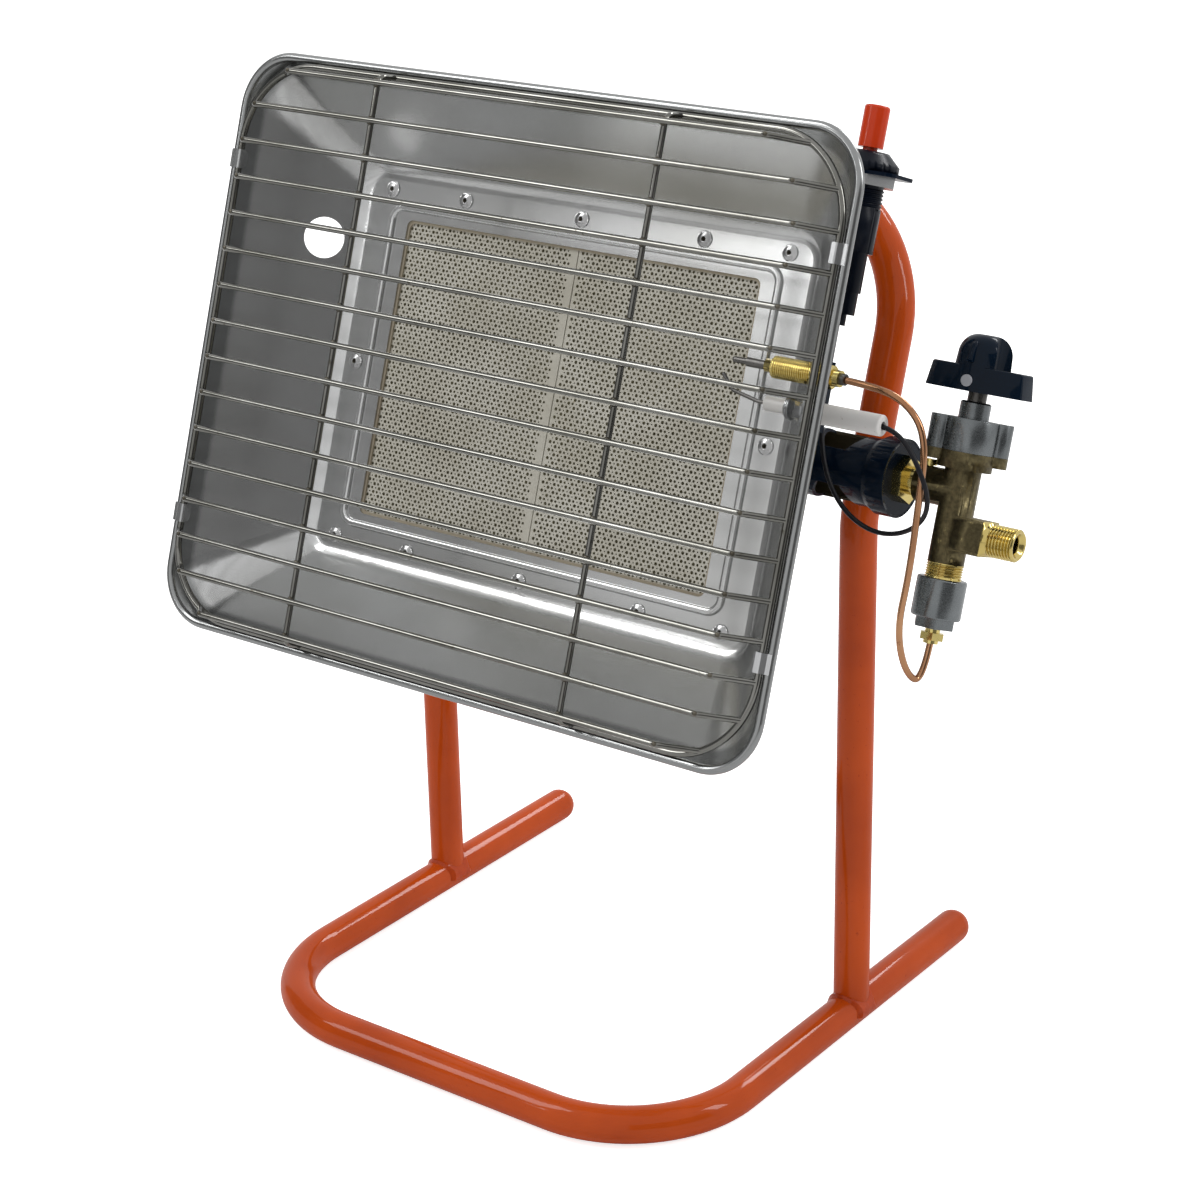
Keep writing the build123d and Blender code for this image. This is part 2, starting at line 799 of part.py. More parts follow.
jet_hex_end = collar_end + jet_hex_t
with BuildPart() as gas_jet:
    hex_prism(mix_axis, collar_end, jet_hex_end, jet_af, turn=12)
    turned(
        mix_axis,
        [
            (collar_end - jet_spigot_len, collar_end - jet_spigot_len + 3, jet_spigot_d / 2),
            (collar_end - jet_spigot_len + 3, collar_end, jet_spigot_d),
            (jet_hex_end, jet_hex_end + stub_len, stub_d),
        ],
    )
    turned(mix_axis, [(collar_end - jet_spigot_len, collar_end, jet_bore_d)], Mode.SUBTRACT)
    turned(mix_axis, [(collar_end - jet_spigot_len + 5, jet_hex_end + stub_len, jet_spigot_d / 2)], Mode.SUBTRACT)
gas_jet.part.label = "gas_jet"
export_step(gas_jet.part, "parts/gas_jet.step")

# ================================================================ gas valve
valve_u = jet_hex_end + neck_reach
valve_axis = standing(0, valve_u, mix_level)
valve_line = Axis(valve_axis.origin, head.y_dir)
flange_bottom = cast_top + step_t
flange_top = flange_bottom + flange_t
bonnet_top = flange_top + bonnet_t
sleeve_top = bonnet_top + sleeve_t
ear_x, ear_y = ear_reach * cos(radians(ear_turn)), ear_reach * sin(radians(ear_turn))
ear_spots = [(-ear_x, -ear_y), (ear_x, ear_y)]


# Round body with two ears, as on the valve's flange and its bonnet
def eared_block(bottom, top):
    with BuildSketch(valve_axis.offset(bottom)) as outline:
        Circle(lobe_d / 2)
        with Locations(*ear_spots):
            Circle(ear_d / 2)
    extrude(outline.sketch, amount=top - bottom)


inlet_axis = sideways(0, inlet_v, mix_level)
boss_end = valve_u + boss_reach
inlet_end = boss_end + inlet_thread_len
test_screw_u = valve_u - test_screw_back
with BuildPart() as valve_body:
    turned(
        valve_axis,
        [
            (cap_start - cap_thread_depth, cap_thread_start, cap_thread_d),
            (cap_thread_start, cast_top, cast_d),
            (cast_top, flange_bottom, step_d),
        ],
    )
    eared_block(flange_bottom, flange_top)
    # Outlet neck to the jet
    turned(mix_axis, [(jet_hex_end + neck_gap, valve_u, neck_d)])
    # Inlet: cast square boss with a raised pad in front, and the threaded nipple
    with BuildSketch(inlet_axis.offset(valve_u)):
        RectangleRounded(boss_side, boss_side, 1.2)
    extrude(amount=boss_reach)
    with BuildSketch(facing(mix_level + boss_side / 2, valve_u + boss_reach / 2, inlet_v)):
        RectangleRounded(boss_pad_w, boss_pad_h, 1)
    extrude(amount=boss_pad_t)
    turned(inlet_axis, [(boss_end, inlet_end, inlet_thread_d)])
    chamfer(valve_body.edges().filter_by(GeomType.CIRCLE).sort_by(across)[-1], 0.8)
    # Bores
    turned(valve_axis, [(plug_bottom, flange_top, plug_d + 2 * running_gap)], mode=Mode.SUBTRACT)
    magnet_bore = magnet_d + 2 * running_gap
    turned(valve_axis, [(cap_start - cap_thread_depth, inlet_v - 3, magnet_bore)], mode=Mode.SUBTRACT)
    turned(mix_axis, [(jet_hex_end, jet_hex_end + stub_len, stub_d + 2 * running_gap)], mode=Mode.SUBTRACT)
    turned(mix_axis, [(jet_hex_end + stub_len, valve_u, jet_spigot_d / 2)], mode=Mode.SUBTRACT)
    turned(inlet_axis, [(valve_u, inlet_end, inlet_bore_d)], mode=Mode.SUBTRACT)
    with Locations(inlet_axis.offset(inlet_end)):
        Cone(
            0.3,
            inlet_cone_d / 2,
            inlet_cone_d / 2,
            align=(Align.CENTER, Align.CENTER, Align.MAX),
            mode=Mode.SUBTRACT,
        )
    turned(
        standing(0, test_screw_u, mix_level),
        [(mix_v + stub_d / 2, mix_v + neck_d, ear_screw_d + 2 * running_gap)],
        mode=Mode.SUBTRACT,
    )
    with BuildSketch(valve_axis.offset(flange_bottom)):
        with Locations(*ear_spots):
            Circle(ear_screw_d / 2 + running_gap)
    extrude(amount=flange_t, mode=Mode.SUBTRACT)
valve_body.part.label = "valve_body"
export_step(valve_body.part, "parts/valve_body.step")

screw_seat = mix_v + neck_d / 2 + seat_gap
with BuildPart() as test_screw:
    spot = standing(0, test_screw_u, mix_level)
    screw_tip = mix_v + stub_d / 2 + seat_gap
    turned(spot, [(screw_tip, screw_seat, ear_screw_d), (screw_seat, screw_seat + 2.4, test_screw_d)])
    with BuildSketch(spot.offset(screw_seat + 2.4)):
        Rectangle(1, test_screw_d)
    extrude(amount=-1, mode=Mode.SUBTRACT)
test_screw.part.label = "test_screw"
export_step(test_screw.part, "parts/test_screw.step")

with BuildPart() as valve_bonnet:
    eared_block(flange_top, bonnet_top)
    turned(valve_axis, [(flange_top, bonnet_top, spindle_d + 4 * drop_in_gap)], mode=Mode.SUBTRACT)
    with BuildSketch(valve_axis.offset(flange_top)):
        with Locations(*ear_spots):
            Circle(ear_screw_d / 2 + running_gap)
    extrude(amount=bonnet_t, mode=Mode.SUBTRACT)
    with BuildSketch(valve_axis.offset(bonnet_top)):
        with Locations(*ear_spots):
            Circle(ear_screw_head_d / 2 + running_gap)
    extrude(amount=-ear_screw_d, mode=Mode.SUBTRACT)
valve_bonnet.part.label = "valve_bonnet"
export_step(valve_bonnet.part, "parts/valve_bonnet.step")

with BuildPart() as bonnet_screws:
    for u, v in ear_spots:
        spot = standing(0, valve_u + u, mix_level - v)
        turned(
            spot,
            [
                (flange_bottom, bonnet_top - ear_screw_d, ear_screw_d),
                (bonnet_top - ear_screw_d, bonnet_top, ear_screw_head_d),
            ],
        )
bonnet_screws.part.label = "bonnet_screws"
export_step(bonnet_screws.part, "parts/bonnet_screws.step")

with BuildPart() as spindle_sleeve:
    turned(valve_axis, [(bonnet_top, sleeve_top, sleeve_d)])
    chamfer(spindle_sleeve.edges().sort_by(upwards)[-1], 0.6)
    turned(valve_axis, [(bonnet_top, sleeve_top, spindle_d + 2 * running_gap)], mode=Mode.SUBTRACT)
spindle_sleeve.part.label = "spindle_sleeve"
export_step(spindle_sleeve.part, "parts/spindle_sleeve.step")


# Round key with one flat, as on the spindle's lower end and in the plug
def keyed_bar(bottom, top, gap, mode):
    with BuildSketch(valve_axis.offset(bottom)) as outline:
        Circle(key_d / 2 + gap)
        with Locations((0, key_flat + gap)):
            Rectangle(2 * key_d, key_d, align=(Align.CENTER, Align.MIN), mode=Mode.SUBTRACT)
    extrude(outline.sketch, amount=top - bottom, mode=mode)


shoulder = plug_top + push_travel + 0.5
with BuildPart() as valve_plug:
    turned(valve_axis, [(plug_bottom + seat_gap, plug_top, plug_d)])
    keyed_bar(plug_bottom + 2, plug_top, running_gap, Mode.SUBTRACT)
    turned(mix_axis, [(valve_u - plug_d, valve_u, jet_spigot_d / 2)], mode=Mode.SUBTRACT)
valve_plug.part.label = "valve_plug"
export_step(valve_plug.part, "parts/valve_plug.step")

with BuildPart() as valve_spindle:
    turned(valve_axis, [(shoulder, spindle_top, spindle_d)])
    keyed_bar(plug_bottom + 2 + push_travel + 1, shoulder, 0, Mode.ADD)
valve_spindle.part.label = "valve_spindle"
export_step(valve_spindle.part, "parts/valve_spindle.step")

cap_bottom = cap_start - cap_len
with BuildPart() as magnet_cap:
    turned(valve_axis, [(cap_bottom, cap_start, cap_d)])
    chamfer(magnet_cap.edges().filter_by(GeomType.CIRCLE), 0.6)
    hex_prism(valve_axis, cap_bottom - cap_hex_t, cap_bottom, cap_hex_af)
    cap_bore = cap_thread_d + 2 * running_gap
    turned(valve_axis, [(cap_start - cap_thread_depth - seat_gap, cap_start, cap_bore)], mode=Mode.SUBTRACT)
    stem_bore = magnet_stem_d + 2 * running_gap
    turned(valve_axis, [(cap_bottom - cap_hex_t, cap_start, stem_bore)], mode=Mode.SUBTRACT)
magnet_cap.part.label = "magnet_cap"
export_step(magnet_cap.part, "parts/magnet_cap.step")

magnet_floor = cap_start - cap_thread_depth
with BuildPart() as magnet_unit:
    turned(
        valve_axis,
        [
            (cap_bottom - cap_hex_t, magnet_floor, magnet_stem_d),
            (magnet_floor, inlet_v - 5, magnet_d),
        ],
    )
magnet_unit.part.label = "magnet_unit"
export_step(magnet_unit.part, "parts/magnet_unit.step")

union_top = cap_bottom - cap_hex_t - seat_gap
union_bottom = union_top - union_len
with BuildPart() as sensor_union_nut:
    turned(valve_axis, [(union_top - 1.5, union_top, union_neck_d)])
    hex_prism(valve_axis, union_bottom + 1.5, union_top - 1.5, union_af)
    turned(valve_axis, [(union_bottom, union_bottom + 1.5, union_neck_d)])
    turned(valve_axis, [(union_bottom, union_top - 1, capillary_d + 2 * running_gap)], mode=Mode.SUBTRACT)
sensor_union_nut.part.label = "sensor_union_nut"
export_step(sensor_union_nut.part, "parts/sensor_union_nut.step")

# ================================================================ knob
wing_top = knob_bottom + wing_h


# Lens-shaped plan of the knob's base, drawn in by the inset
def knob_plan(inset):
    half, end = wing_span / 2 - inset, wing_end_w / 2 - inset
    with BuildSketch(valve_axis.offset(knob_bottom)) as outline:
        with BuildLine():
            ThreePointArc((-half, -end), (0, -end - wing_bulge), (half, -end))
            Line((half, -end), (half, end))
            ThreePointArc((half, end), (0, end + wing_bulge), (-half, end))
            Line((-half, end), (-half, -end))
        make_face()
        fillet(outline.vertices(), wing_end_r)
    return outline.sketch


with BuildPart() as knob:
    extrude(knob_plan(0), amount=wing_h, taper=wing_draft)
    fillet(knob.faces().sort_by(upwards)[-1].edges(), 1)
    with BuildSketch(valve_axis.offset(knob_bottom)):
        Circle(dome_d / 2)
    extrude(amount=dome_top - knob_bottom, taper=dome_draft)
    crown = knob.edges().filter_by(GeomType.CIRCLE).sort_by(upwards)[-1]
    fillet(crown, dome_round)
    # Finger scoops above both wings leave a ridge from front to back
    with BuildSketch(valve_axis.offset(wing_top)):
        with Locations((-scoop_u, 0), (scoop_u, 0)):
            Circle(scoop_r)
    extrude(amount=dome_top - wing_top, mode=Mode.SUBTRACT)
    # Hollow underside with the spindle hub left standing
    extrude(knob_plan(1.3 * knob_wall), amount=wing_h - 1.5 * knob_wall, mode=Mode.SUBTRACT)
    turned(valve_axis, [(hub_bottom, wing_top, hub_d)])
    turned(valve_axis, [(hub_bottom, spindle_top + seat_gap, spindle_d + 2 * running_gap)], mode=Mode.SUBTRACT)
knob.part.label = "knob"
export_step(knob.part, "parts/knob.step")

# ================================================================ flame sensor and electrode
probe_axis = sideways(0, probe_v, sensor_level)
probe_tip_end = probe_tip_u + probe_tip_len
bracket_plate_u = dish_half_w(bracket_top_level) + skin_w + seat_gap
plate_face_u = bracket_plate_u + bracket_plate_t
probe_nut_end = plate_face_u + probe_nut_t
probe_end = probe_nut_end + probe_step_t
with BuildPart() as sensor_tip:
    point_end = probe_tip_u + probe_point_len
    turned(probe_axis, [(probe_tip_u, point_end, probe_point_d), (point_end, probe_tip_end, probe_tip_d)])
    fillet(sensor_tip.edges().sort_by(across)[0], 0.45 * probe_point_d)
sensor_tip.part.label = "sensor_tip"
export_step(sensor_tip.part, "parts/sensor_tip.step")

capillary_start = plate_face_u + 1
capillary_bore_d = capillary_d + 2 * running_gap
with BuildPart() as sensor_body:
    turned(
        probe_axis,
        [
            (probe_tip_end, probe_thread_u, probe_neck_d),
            (probe_thread_u, plate_face_u, probe_thread_d),
            (plate_face_u, probe_nut_end - seat_gap, probe_spigot_d),
        ],
    )
    turned(probe_axis, [(capillary_start, probe_end, capillary_bore_d)], mode=Mode.SUBTRACT)
sensor_body.part.label = "sensor_body"
export_step(sensor_body.part, "parts/sensor_body.step")

with BuildPart() as sensor_nut:
    hex_prism(probe_axis, plate_face_u, probe_nut_end, probe_nut_af)
    turned(probe_axis, [(plate_face_u, probe_nut_end, probe_spigot_d + 2 * running_gap)], mode=Mode.SUBTRACT)
    turned(probe_axis, [(probe_nut_end, probe_end, probe_step_d)])
    turned(probe_axis, [(probe_nut_end, probe_end, capillary_bore_d)], mode=Mode.SUBTRACT)
sensor_nut.part.label = "sensor_nut"
export_step(sensor_nut.part, "parts/sensor_nut.step")

with BuildPart() as sensor_ferrule:
    turned(probe_axis, [(probe_end, probe_end + ferrule_t, ferrule_d)])
    turned(probe_axis, [(probe_end, probe_end + ferrule_t, capillary_bore_d)], mode=Mode.SUBTRACT)
sensor_ferrule.part.label = "sensor_ferrule"
export_step(sensor_ferrule.part, "parts/sensor_ferrule.step")

# Stiff copper tube from the sensor round to the magnet unit
capillary_points = [
    (capillary_start, probe_v, sensor_level),
    (capillary_start + 18.5, probe_v, sensor_level),
    (valve_u - 6.9, 28.5, -32),
    (valve_u + 2.9, 16.5, -35.5),
    (valve_u + 1.9, -9, -41),
    (valve_u + 0.4, -36.8, -47),
    (valve_u - 5.4, -60, -56.5),
    (valve_u - 3.4, -77, -66),
    (valve_u, -81, mix_level),
    (valve_u, union_top - 1, mix_level),
]
capillary_radii = corner_radii(capillary_points)
print("capillary bend radii", [round(r, 1) for r in capillary_radii])
with BuildPart() as sensor_capillary:
    bent_rod([head_point(*p) for p in capillary_points], capillary_radii, capillary_d)
sensor_capillary.part.label = "sensor_capillary"
export_step(sensor_capillary.part, "parts/sensor_capillary.step")

ceramic_shoulder_u = dish_half_w(sensor_level + ceramic_d / 2) + skin_w + seat_gap
with BuildPart() as electrode_ceramic:
    turned(
        sideways(0, electrode_v, sensor_level),
        [
            (ceramic_tip_u, ceramic_shoulder_u, ceramic_tip_d),
            (ceramic_shoulder_u, ceramic_end_u, ceramic_d),
        ],
    )
    fillet(electrode_ceramic.edges().filter_by(GeomType.CIRCLE).sort_by(across)[-1], 0.9)
    bore = [(ceramic_end_u - ceramic_bore_len, ceramic_end_u, ceramic_bore_d)]
    turned(sideways(0, electrode_v, sensor_level), bore, mode=Mode.SUBTRACT)
    wire_bore = [(ceramic_tip_u, ceramic_tip_u + 8, electrode_d + 2 * running_gap)]
    turned(sideways(0, electrode_v, sensor_level), wire_bore, mode=Mode.SUBTRACT)
electrode_ceramic.part.label = "electrode_ceramic"
export_step(electrode_ceramic.part, "parts/electrode_ceramic.step")

hook_u = ceramic_tip_u - electrode_run - electrode_reach
with BuildPart() as electrode_wire:
    bent_rod(
        [
            head_point(ceramic_tip_u + 8, electrode_v, sensor_level),
            head_point(ceramic_tip_u - electrode_run, electrode_v, sensor_level),
            head_point(hook_u, electrode_v + electrode_rise, sensor_level),
            head_point(hook_u - electrode_hook, electrode_v + electrode_rise + electrode_hook, sensor_level),
        ],
        3,
        electrode_d,
    )
electrode_wire.part.label = "electrode_wire"
export_step(electrode_wire.part, "parts/electrode_wire.step")

# Zinc clamp on the wall: a plate with a collar round the ceramic and a hole for its screw
clamp_seat = on_wall(1, electrode_v, sensor_level)
with BuildPart() as electrode_clamp:
    with BuildSketch(clamp_seat):
        with Locations((0, -clamp_reach / 2)):
            SlotCenterToCenter(clamp_reach, clamp_w, rotation=90)
    extrude(amount=clamp_t)
    with Locations(clamp_seat * Location((0, -clamp_reach, 0))):
        Cylinder(clamp_screw_d / 2 + running_gap, 4 * clamp_t, mode=Mode.SUBTRACT)
    collar_u = dish_half_w(sensor_level) - 5.5
    turned(sideways(0, electrode_v, sensor_level), [(collar_u, collar_u + 3 * clamp_w, ceramic_tip_d + 3)])
    split(bisect_by=clamp_seat, keep=Keep.TOP)
    ceramic_hole = [(collar_u - 1, collar_u + 3 * clamp_w, ceramic_tip_d + 2 * running_gap)]
    turned(sideways(0, electrode_v, sensor_level), ceramic_hole, mode=Mode.SUBTRACT)
electrode_clamp.part.label = "electrode_clamp"
export_step(electrode_clamp.part, "parts/electrode_clamp.step")

clamp_screw_seat = Plane(
    origin=(clamp_seat * Location((0, -clamp_reach, clamp_t))).position,
    x_dir=clamp_seat.x_dir,
    z_dir=clamp_seat.z_dir,
)
clamp_screw_end = -clamp_t - sheet - clamp_screw_tail
with BuildPart() as clamp_screw:
    hex_prism(clamp_screw_seat, 0, 2.4, clamp_screw_af)
    turned(clamp_screw_seat, [(clamp_screw_end, 0, clamp_screw_d)])
clamp_screw.part.label = "clamp_screw"
export_step(clamp_screw.part, "parts/clamp_screw.step")

# Bent plate outside the wall that carries the sensor and the electrode, notched over the clamp's screw
wall_leg_n = sensor_level - bracket_leg_drop
bracket_foot_v = electrode_v - bracket_under_ceramic
with BuildPart() as sensor_bracket:
    with BuildSketch(standing(bracket_foot_v)):
        with BuildLine():
            Polyline(
                (bracket_plate_u, -bracket_top_level),
                (plate_face_u, -bracket_top_level),
                (plate_face_u, -wall_leg_n),
                (dish_half_w(wall_leg_n + bracket_plate_t) + skin_w + seat_gap, -wall_leg_n),
                (dish_half_w(wall_leg_n + bracket_plate_t) + skin_w + seat_gap, -wall_leg_n - bracket_plate_t),
                (bracket_plate_u, -wall_leg_n - bracket_plate_t),
                close=True,
            )
        make_face()
    extrude(amount=probe_v + bracket_over_probe - bracket_foot_v)
    thread_hole = [(bracket_plate_u, plate_face_u, probe_thread_d + 2 * running_gap)]
    turned(probe_axis, thread_hole, mode=Mode.SUBTRACT)
    turned(
        sideways(0, electrode_v, sensor_level),
        [(bracket_plate_u, plate_face_u, ceramic_d + 2 * drop_in_gap)],
        mode=Mode.SUBTRACT,
    )
    screw_notch = [(clamp_screw_end - bracket_plate_t, 0, clamp_screw_d + 2 * drop_in_gap)]
    turned(clamp_screw_seat, screw_notch, mode=Mode.SUBTRACT)
sensor_bracket.part.label = "sensor_bracket"
export_step(sensor_bracket.part, "parts/sensor_bracket.step")

# ================================================================ igniter
igniter_axis = standing(0, igniter_u, igniter_level)
tab_top = rim_half_h - tab_below_rim
barrel_bottom = tab_top - barrel_len
terminal_bottom = barrel_bottom - terminal_drop
button_top = tab_top + button_rise
button_bottom = button_top - button_len
bezel_top = tab_top + bezel_h
barrel_neck_bottom = barrel_bottom - barrel_neck_len
tab_bottom = tab_top - tab_t
head_floor = button_bottom - button_travel - 0.7
stem_bottom = barrel_bottom + button_travel + 6
with BuildPart() as igniter_body:
    with Locations(igniter_axis.offset(tab_top + bezel_rim_t)):
        Cone(bezel_d / 2, bezel_top_d / 2, bezel_h - bezel_rim_t, align=(Align.CENTER, Align.CENTER, Align.MIN))
    turned(
        igniter_axis,
        [
            (tab_top, tab_top + bezel_rim_t, bezel_d),
            (barrel_bottom, tab_top, barrel_d),
            (barrel_neck_bottom, barrel_bottom, 0.78 * barrel_d),
            (terminal_bottom + terminal_pin_len, barrel_neck_bottom, terminal_d),
            (terminal_bottom, terminal_bottom + terminal_pin_len, terminal_d / 2),
        ],
    )
    turned(igniter_axis, [(head_floor, bezel_top, button_d + 2 * running_gap)], mode=Mode.SUBTRACT)
    stem_bore_steps = [(stem_bottom - button_travel - 1, head_floor, button_stem_d + 2 * running_gap)]
    turned(igniter_axis, stem_bore_steps, mode=Mode.SUBTRACT)
igniter_body.part.label = "igniter_body"
export_step(igniter_body.part, "parts/igniter_body.step")

with BuildPart() as igniter_nut:
    hex_prism(igniter_axis, tab_bottom - igniter_nut_t, tab_bottom, igniter_nut_af)
    nut_bore = [(tab_bottom - igniter_nut_t, tab_bottom, barrel_d + 2 * running_gap)]
    turned(igniter_axis, nut_bore, mode=Mode.SUBTRACT)
igniter_nut.part.label = "igniter_nut"
export_step(igniter_nut.part, "parts/igniter_nut.step")

with BuildPart() as igniter_button:
    turned(igniter_axis, [(stem_bottom, button_bottom, button_stem_d), (button_bottom, button_top, button_d)])
    fillet(igniter_button.edges().filter_by(GeomType.CIRCLE).sort_by(upwards)[-1], 1.2)
igniter_button.part.label = "igniter_button"
export_step(igniter_button.part, "parts/igniter_button.step")

# Sheet bracket: a leg riveted behind the reflector's floor, carried up and bent back into the tab
leg_back = floor_back - housing_sheet - tab_t
leg_front = leg_back + tab_t
leg_u, leg_v = igniter_rivet
leg_inner = leg_u - leg_foot_inner
leg_outer = igniter_u + 0.2 * barrel_d
with BuildPart() as igniter_bracket:
    leg_bottom = holder_half_h + housing_sheet + seat_gap
    with BuildSketch(facing(leg_back)):
        with BuildLine():
            Polyline(
                (leg_inner, leg_bottom),
                (leg_u + leg_foot_outer, leg_bottom),
                (leg_outer, tab_top - leg_taper_drop),
                (leg_outer, tab_top),
                (leg_inner, tab_top),
                close=True,
            )
        make_face()
    extrude(amount=tab_t)
    with BuildSketch(standing(tab_bottom)):
        with Locations(((leg_inner + leg_outer) / 2, -(leg_front + igniter_level - tab_half_w) / 2)):
            RectangleRounded(leg_outer - leg_inner, leg_front - igniter_level + tab_half_w, 1.5)
        with Locations(((leg_inner + igniter_u + tab_reach) / 2, -igniter_level)):
            RectangleRounded(igniter_u + tab_reach - leg_inner, 2 * tab_half_w, 5)
    extrude(amount=tab_t)
    split(bisect_by=facing(leg_back + tab_t), keep=Keep.BOTTOM)
    turned(igniter_axis, [(tab_bottom, tab_top, barrel_d + 2 * drop_in_gap)], mode=Mode.SUBTRACT)
    turned(
        facing(0, leg_u, leg_v),
        [(leg_back, leg_back + tab_t, rivet_d + 2 * running_gap)],
        mode=Mode.SUBTRACT,
    )
igniter_bracket.part.label = "igniter_bracket"
export_step(igniter_bracket.part, "parts/igniter_bracket.step")

# Spark lead from the electrode round to the igniter
lead_points = [
    (ceramic_end_u - ceramic_bore_len, electrode_v, sensor_level),
    (ceramic_end_u + 1.5, electrode_v, sensor_level),
    (valve_u - 3.9, 13.8, -31),
    (valve_u + 3.9, 3.5, -33.5),
    (valve_u + 5.8, -7.5, -41.5),
    (valve_u + 0.2, -16.3, -50.5),
    (valve_u - 11.4, -23.3, -57.5),
    (valve_u - 24.9, -25.5, -60),
    (igniter_u + 24.5, -21, -59),
    (igniter_u + 15, -11.5, -57.5),
    (igniter_u + 8, 2, -57.5),
    (igniter_u + 3, 18, -60),
    (igniter_u, terminal_bottom - 17.4, igniter_level),
    (igniter_u, terminal_bottom, igniter_level),
]
lead_radii = corner_radii(lead_points)
print("lead bend radii", [round(r, 1) for r in lead_radii])
with BuildPart() as ignition_lead:
    bent_rod([head_point(*p) for p in lead_points], lead_radii, lead_d)
lead_length = ignition_lead.part.volume / (pi * lead_d**2 / 4)
print("lead volume over section", round(lead_length, 1))
ignition_lead.part.label = "ignition_lead"
export_step(ignition_lead.part, "parts/ignition_lead.step")
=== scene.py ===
from math import cos, pi, radians, sin

import bmesh
import bpy
from mathutils import Matrix, Vector
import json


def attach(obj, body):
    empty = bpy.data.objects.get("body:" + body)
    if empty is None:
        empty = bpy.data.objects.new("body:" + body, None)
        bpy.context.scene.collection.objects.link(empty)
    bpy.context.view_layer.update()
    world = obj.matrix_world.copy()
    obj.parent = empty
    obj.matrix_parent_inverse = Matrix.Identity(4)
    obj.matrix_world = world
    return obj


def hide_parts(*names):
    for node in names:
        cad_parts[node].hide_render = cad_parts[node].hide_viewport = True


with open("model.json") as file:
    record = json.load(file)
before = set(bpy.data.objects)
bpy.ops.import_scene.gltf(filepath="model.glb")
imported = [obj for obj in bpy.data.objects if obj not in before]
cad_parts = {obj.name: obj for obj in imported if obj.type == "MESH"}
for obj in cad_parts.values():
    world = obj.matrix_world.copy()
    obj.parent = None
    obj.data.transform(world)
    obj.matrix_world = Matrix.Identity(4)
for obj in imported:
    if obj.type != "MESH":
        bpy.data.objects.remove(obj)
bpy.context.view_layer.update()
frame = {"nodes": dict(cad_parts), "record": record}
nodes = frame["nodes"]
scene = bpy.context.scene
print("frame loaded:", len(nodes), "nodes")

# the head's own directions, in millimetres from the middle of its rim:
# U to the valve side, V up its face, N out of it
headTilt = radians(19)
uDir = Vector((1, 0, 0))
vDir = Vector((0, sin(headTilt), cos(headTilt)))
nDir = Vector((0, -cos(headTilt), sin(headTilt)))

# the rim's middle stands this far up and out from the kink of the hoop
hoopKink = Vector((0, 27.8, 241.9))
rimUp, rimOut = 24.2, 114.3
headOrigin = hoopKink + vDir * rimUp + nDir * rimOut

# the valve, its knob and its cap share one axis along V
valveU, valveN = 180.4, -76


def onHead(u, v, n):
    return (headOrigin + uDir * u + vDir * v + nDir * n) / 1000


def along(axis, u=0, v=0, n=0):
    # a place on the head whose own Z runs along U, V or N
    sides = {"U": (vDir, nDir, uDir), "V": (uDir, -nDir, vDir), "N": (uDir, vDir, nDir)}[axis]
    return Matrix.Translation(onHead(u, v, n)) @ Matrix(sides).transposed().to_4x4()


def placeCamera():
    look = {"azimuth": 36.88, "height": 21.71, "roll": -1.19,
            "place": (0.68231, -0.90725, 0.63973), "lens": 83.1, "sensor": 36, "near": 0.01}
    a, e, r = radians(look["azimuth"]), radians(look["height"]), radians(look["roll"])
    back = Vector((sin(a) * cos(e), -cos(a) * cos(e), sin(e)))
    side = Vector((cos(a), sin(a), 0))
    up = back.cross(side)
    right = side * cos(r) + up * sin(r)
    above = up * cos(r) - side * sin(r)
    turn = Matrix((right, above, back)).transposed().to_4x4()
    data = bpy.data.cameras.new("camera")
    data.lens = look["lens"]
    data.sensor_width = look["sensor"]
    data.clip_start = look["near"]
    camera = bpy.data.objects.new("camera", data)
    scene.collection.objects.link(camera)
    camera.matrix_world = Matrix.Translation(look["place"]) @ turn
    scene.camera = camera


placeCamera()

# the spark lead and the sensor's copper tube, on the same routes as their solids
leadFacts = {"diameter": 2.0, "length": 178, "route": [
    (161, 17.5, -30), (168.5, 17.5, -30), (176.5, 13.8, -31), (184.3, 3.5, -33.5),
    (186.2, -7.5, -41.5), (180.6, -16.3, -50.5), (169, -23.3, -57.5), (155.5, -25.5, -60),
    (143, -21, -59), (133.5, -11.5, -57.5), (126.5, 2, -57.5), (121.5, 18, -60),
    (118.5, 35, -65), (118.5, 52.4, -65)]}
tubeFacts = {"diameter": 2.8, "length": 178, "route": [
    (138.5, 32, -30), (157, 32, -30), (173.5, 28.5, -32), (183.3, 16.5, -35.5),
    (182.3, -9, -41), (180.8, -36.8, -47), (175, -60, -56.5), (177, -77, -66),
    (180.4, -81, -76), (180.4, -59.3, -76)]}


def roundCord(name, node, facts):
    # the bevel is 1 m and each point's radius scales it, so the curve's box keeps to the cord
    curve = bpy.data.curves.new(name, "CURVE")
    curve.dimensions = "3D"
    curve.bevel_depth = 1
    curve.bevel_resolution = 6
    curve.resolution_u = 12
    curve.use_fill_caps = True
    spline = curve.splines.new("NURBS")
    spline.points.add(len(facts["route"]) - 1)
    for point, spot in zip(spline.points, facts["route"]):
        point.co = (*onHead(*spot), 1)
        point.radius = facts["diameter"] / 2000
    spline.order_u = 3
    spline.use_endpoint_u = True
    cord = bpy.data.objects.new(name, curve)
    scene.collection.objects.link(cord)
    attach(cord, "heater")
    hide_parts(node)
    return cord


sparkLead = roundCord("sparkLead", "ignition_lead", leadFacts)
copperTube = roundCord("copperTube", "sensor_capillary", tubeFacts)
print("camera and cords placed")


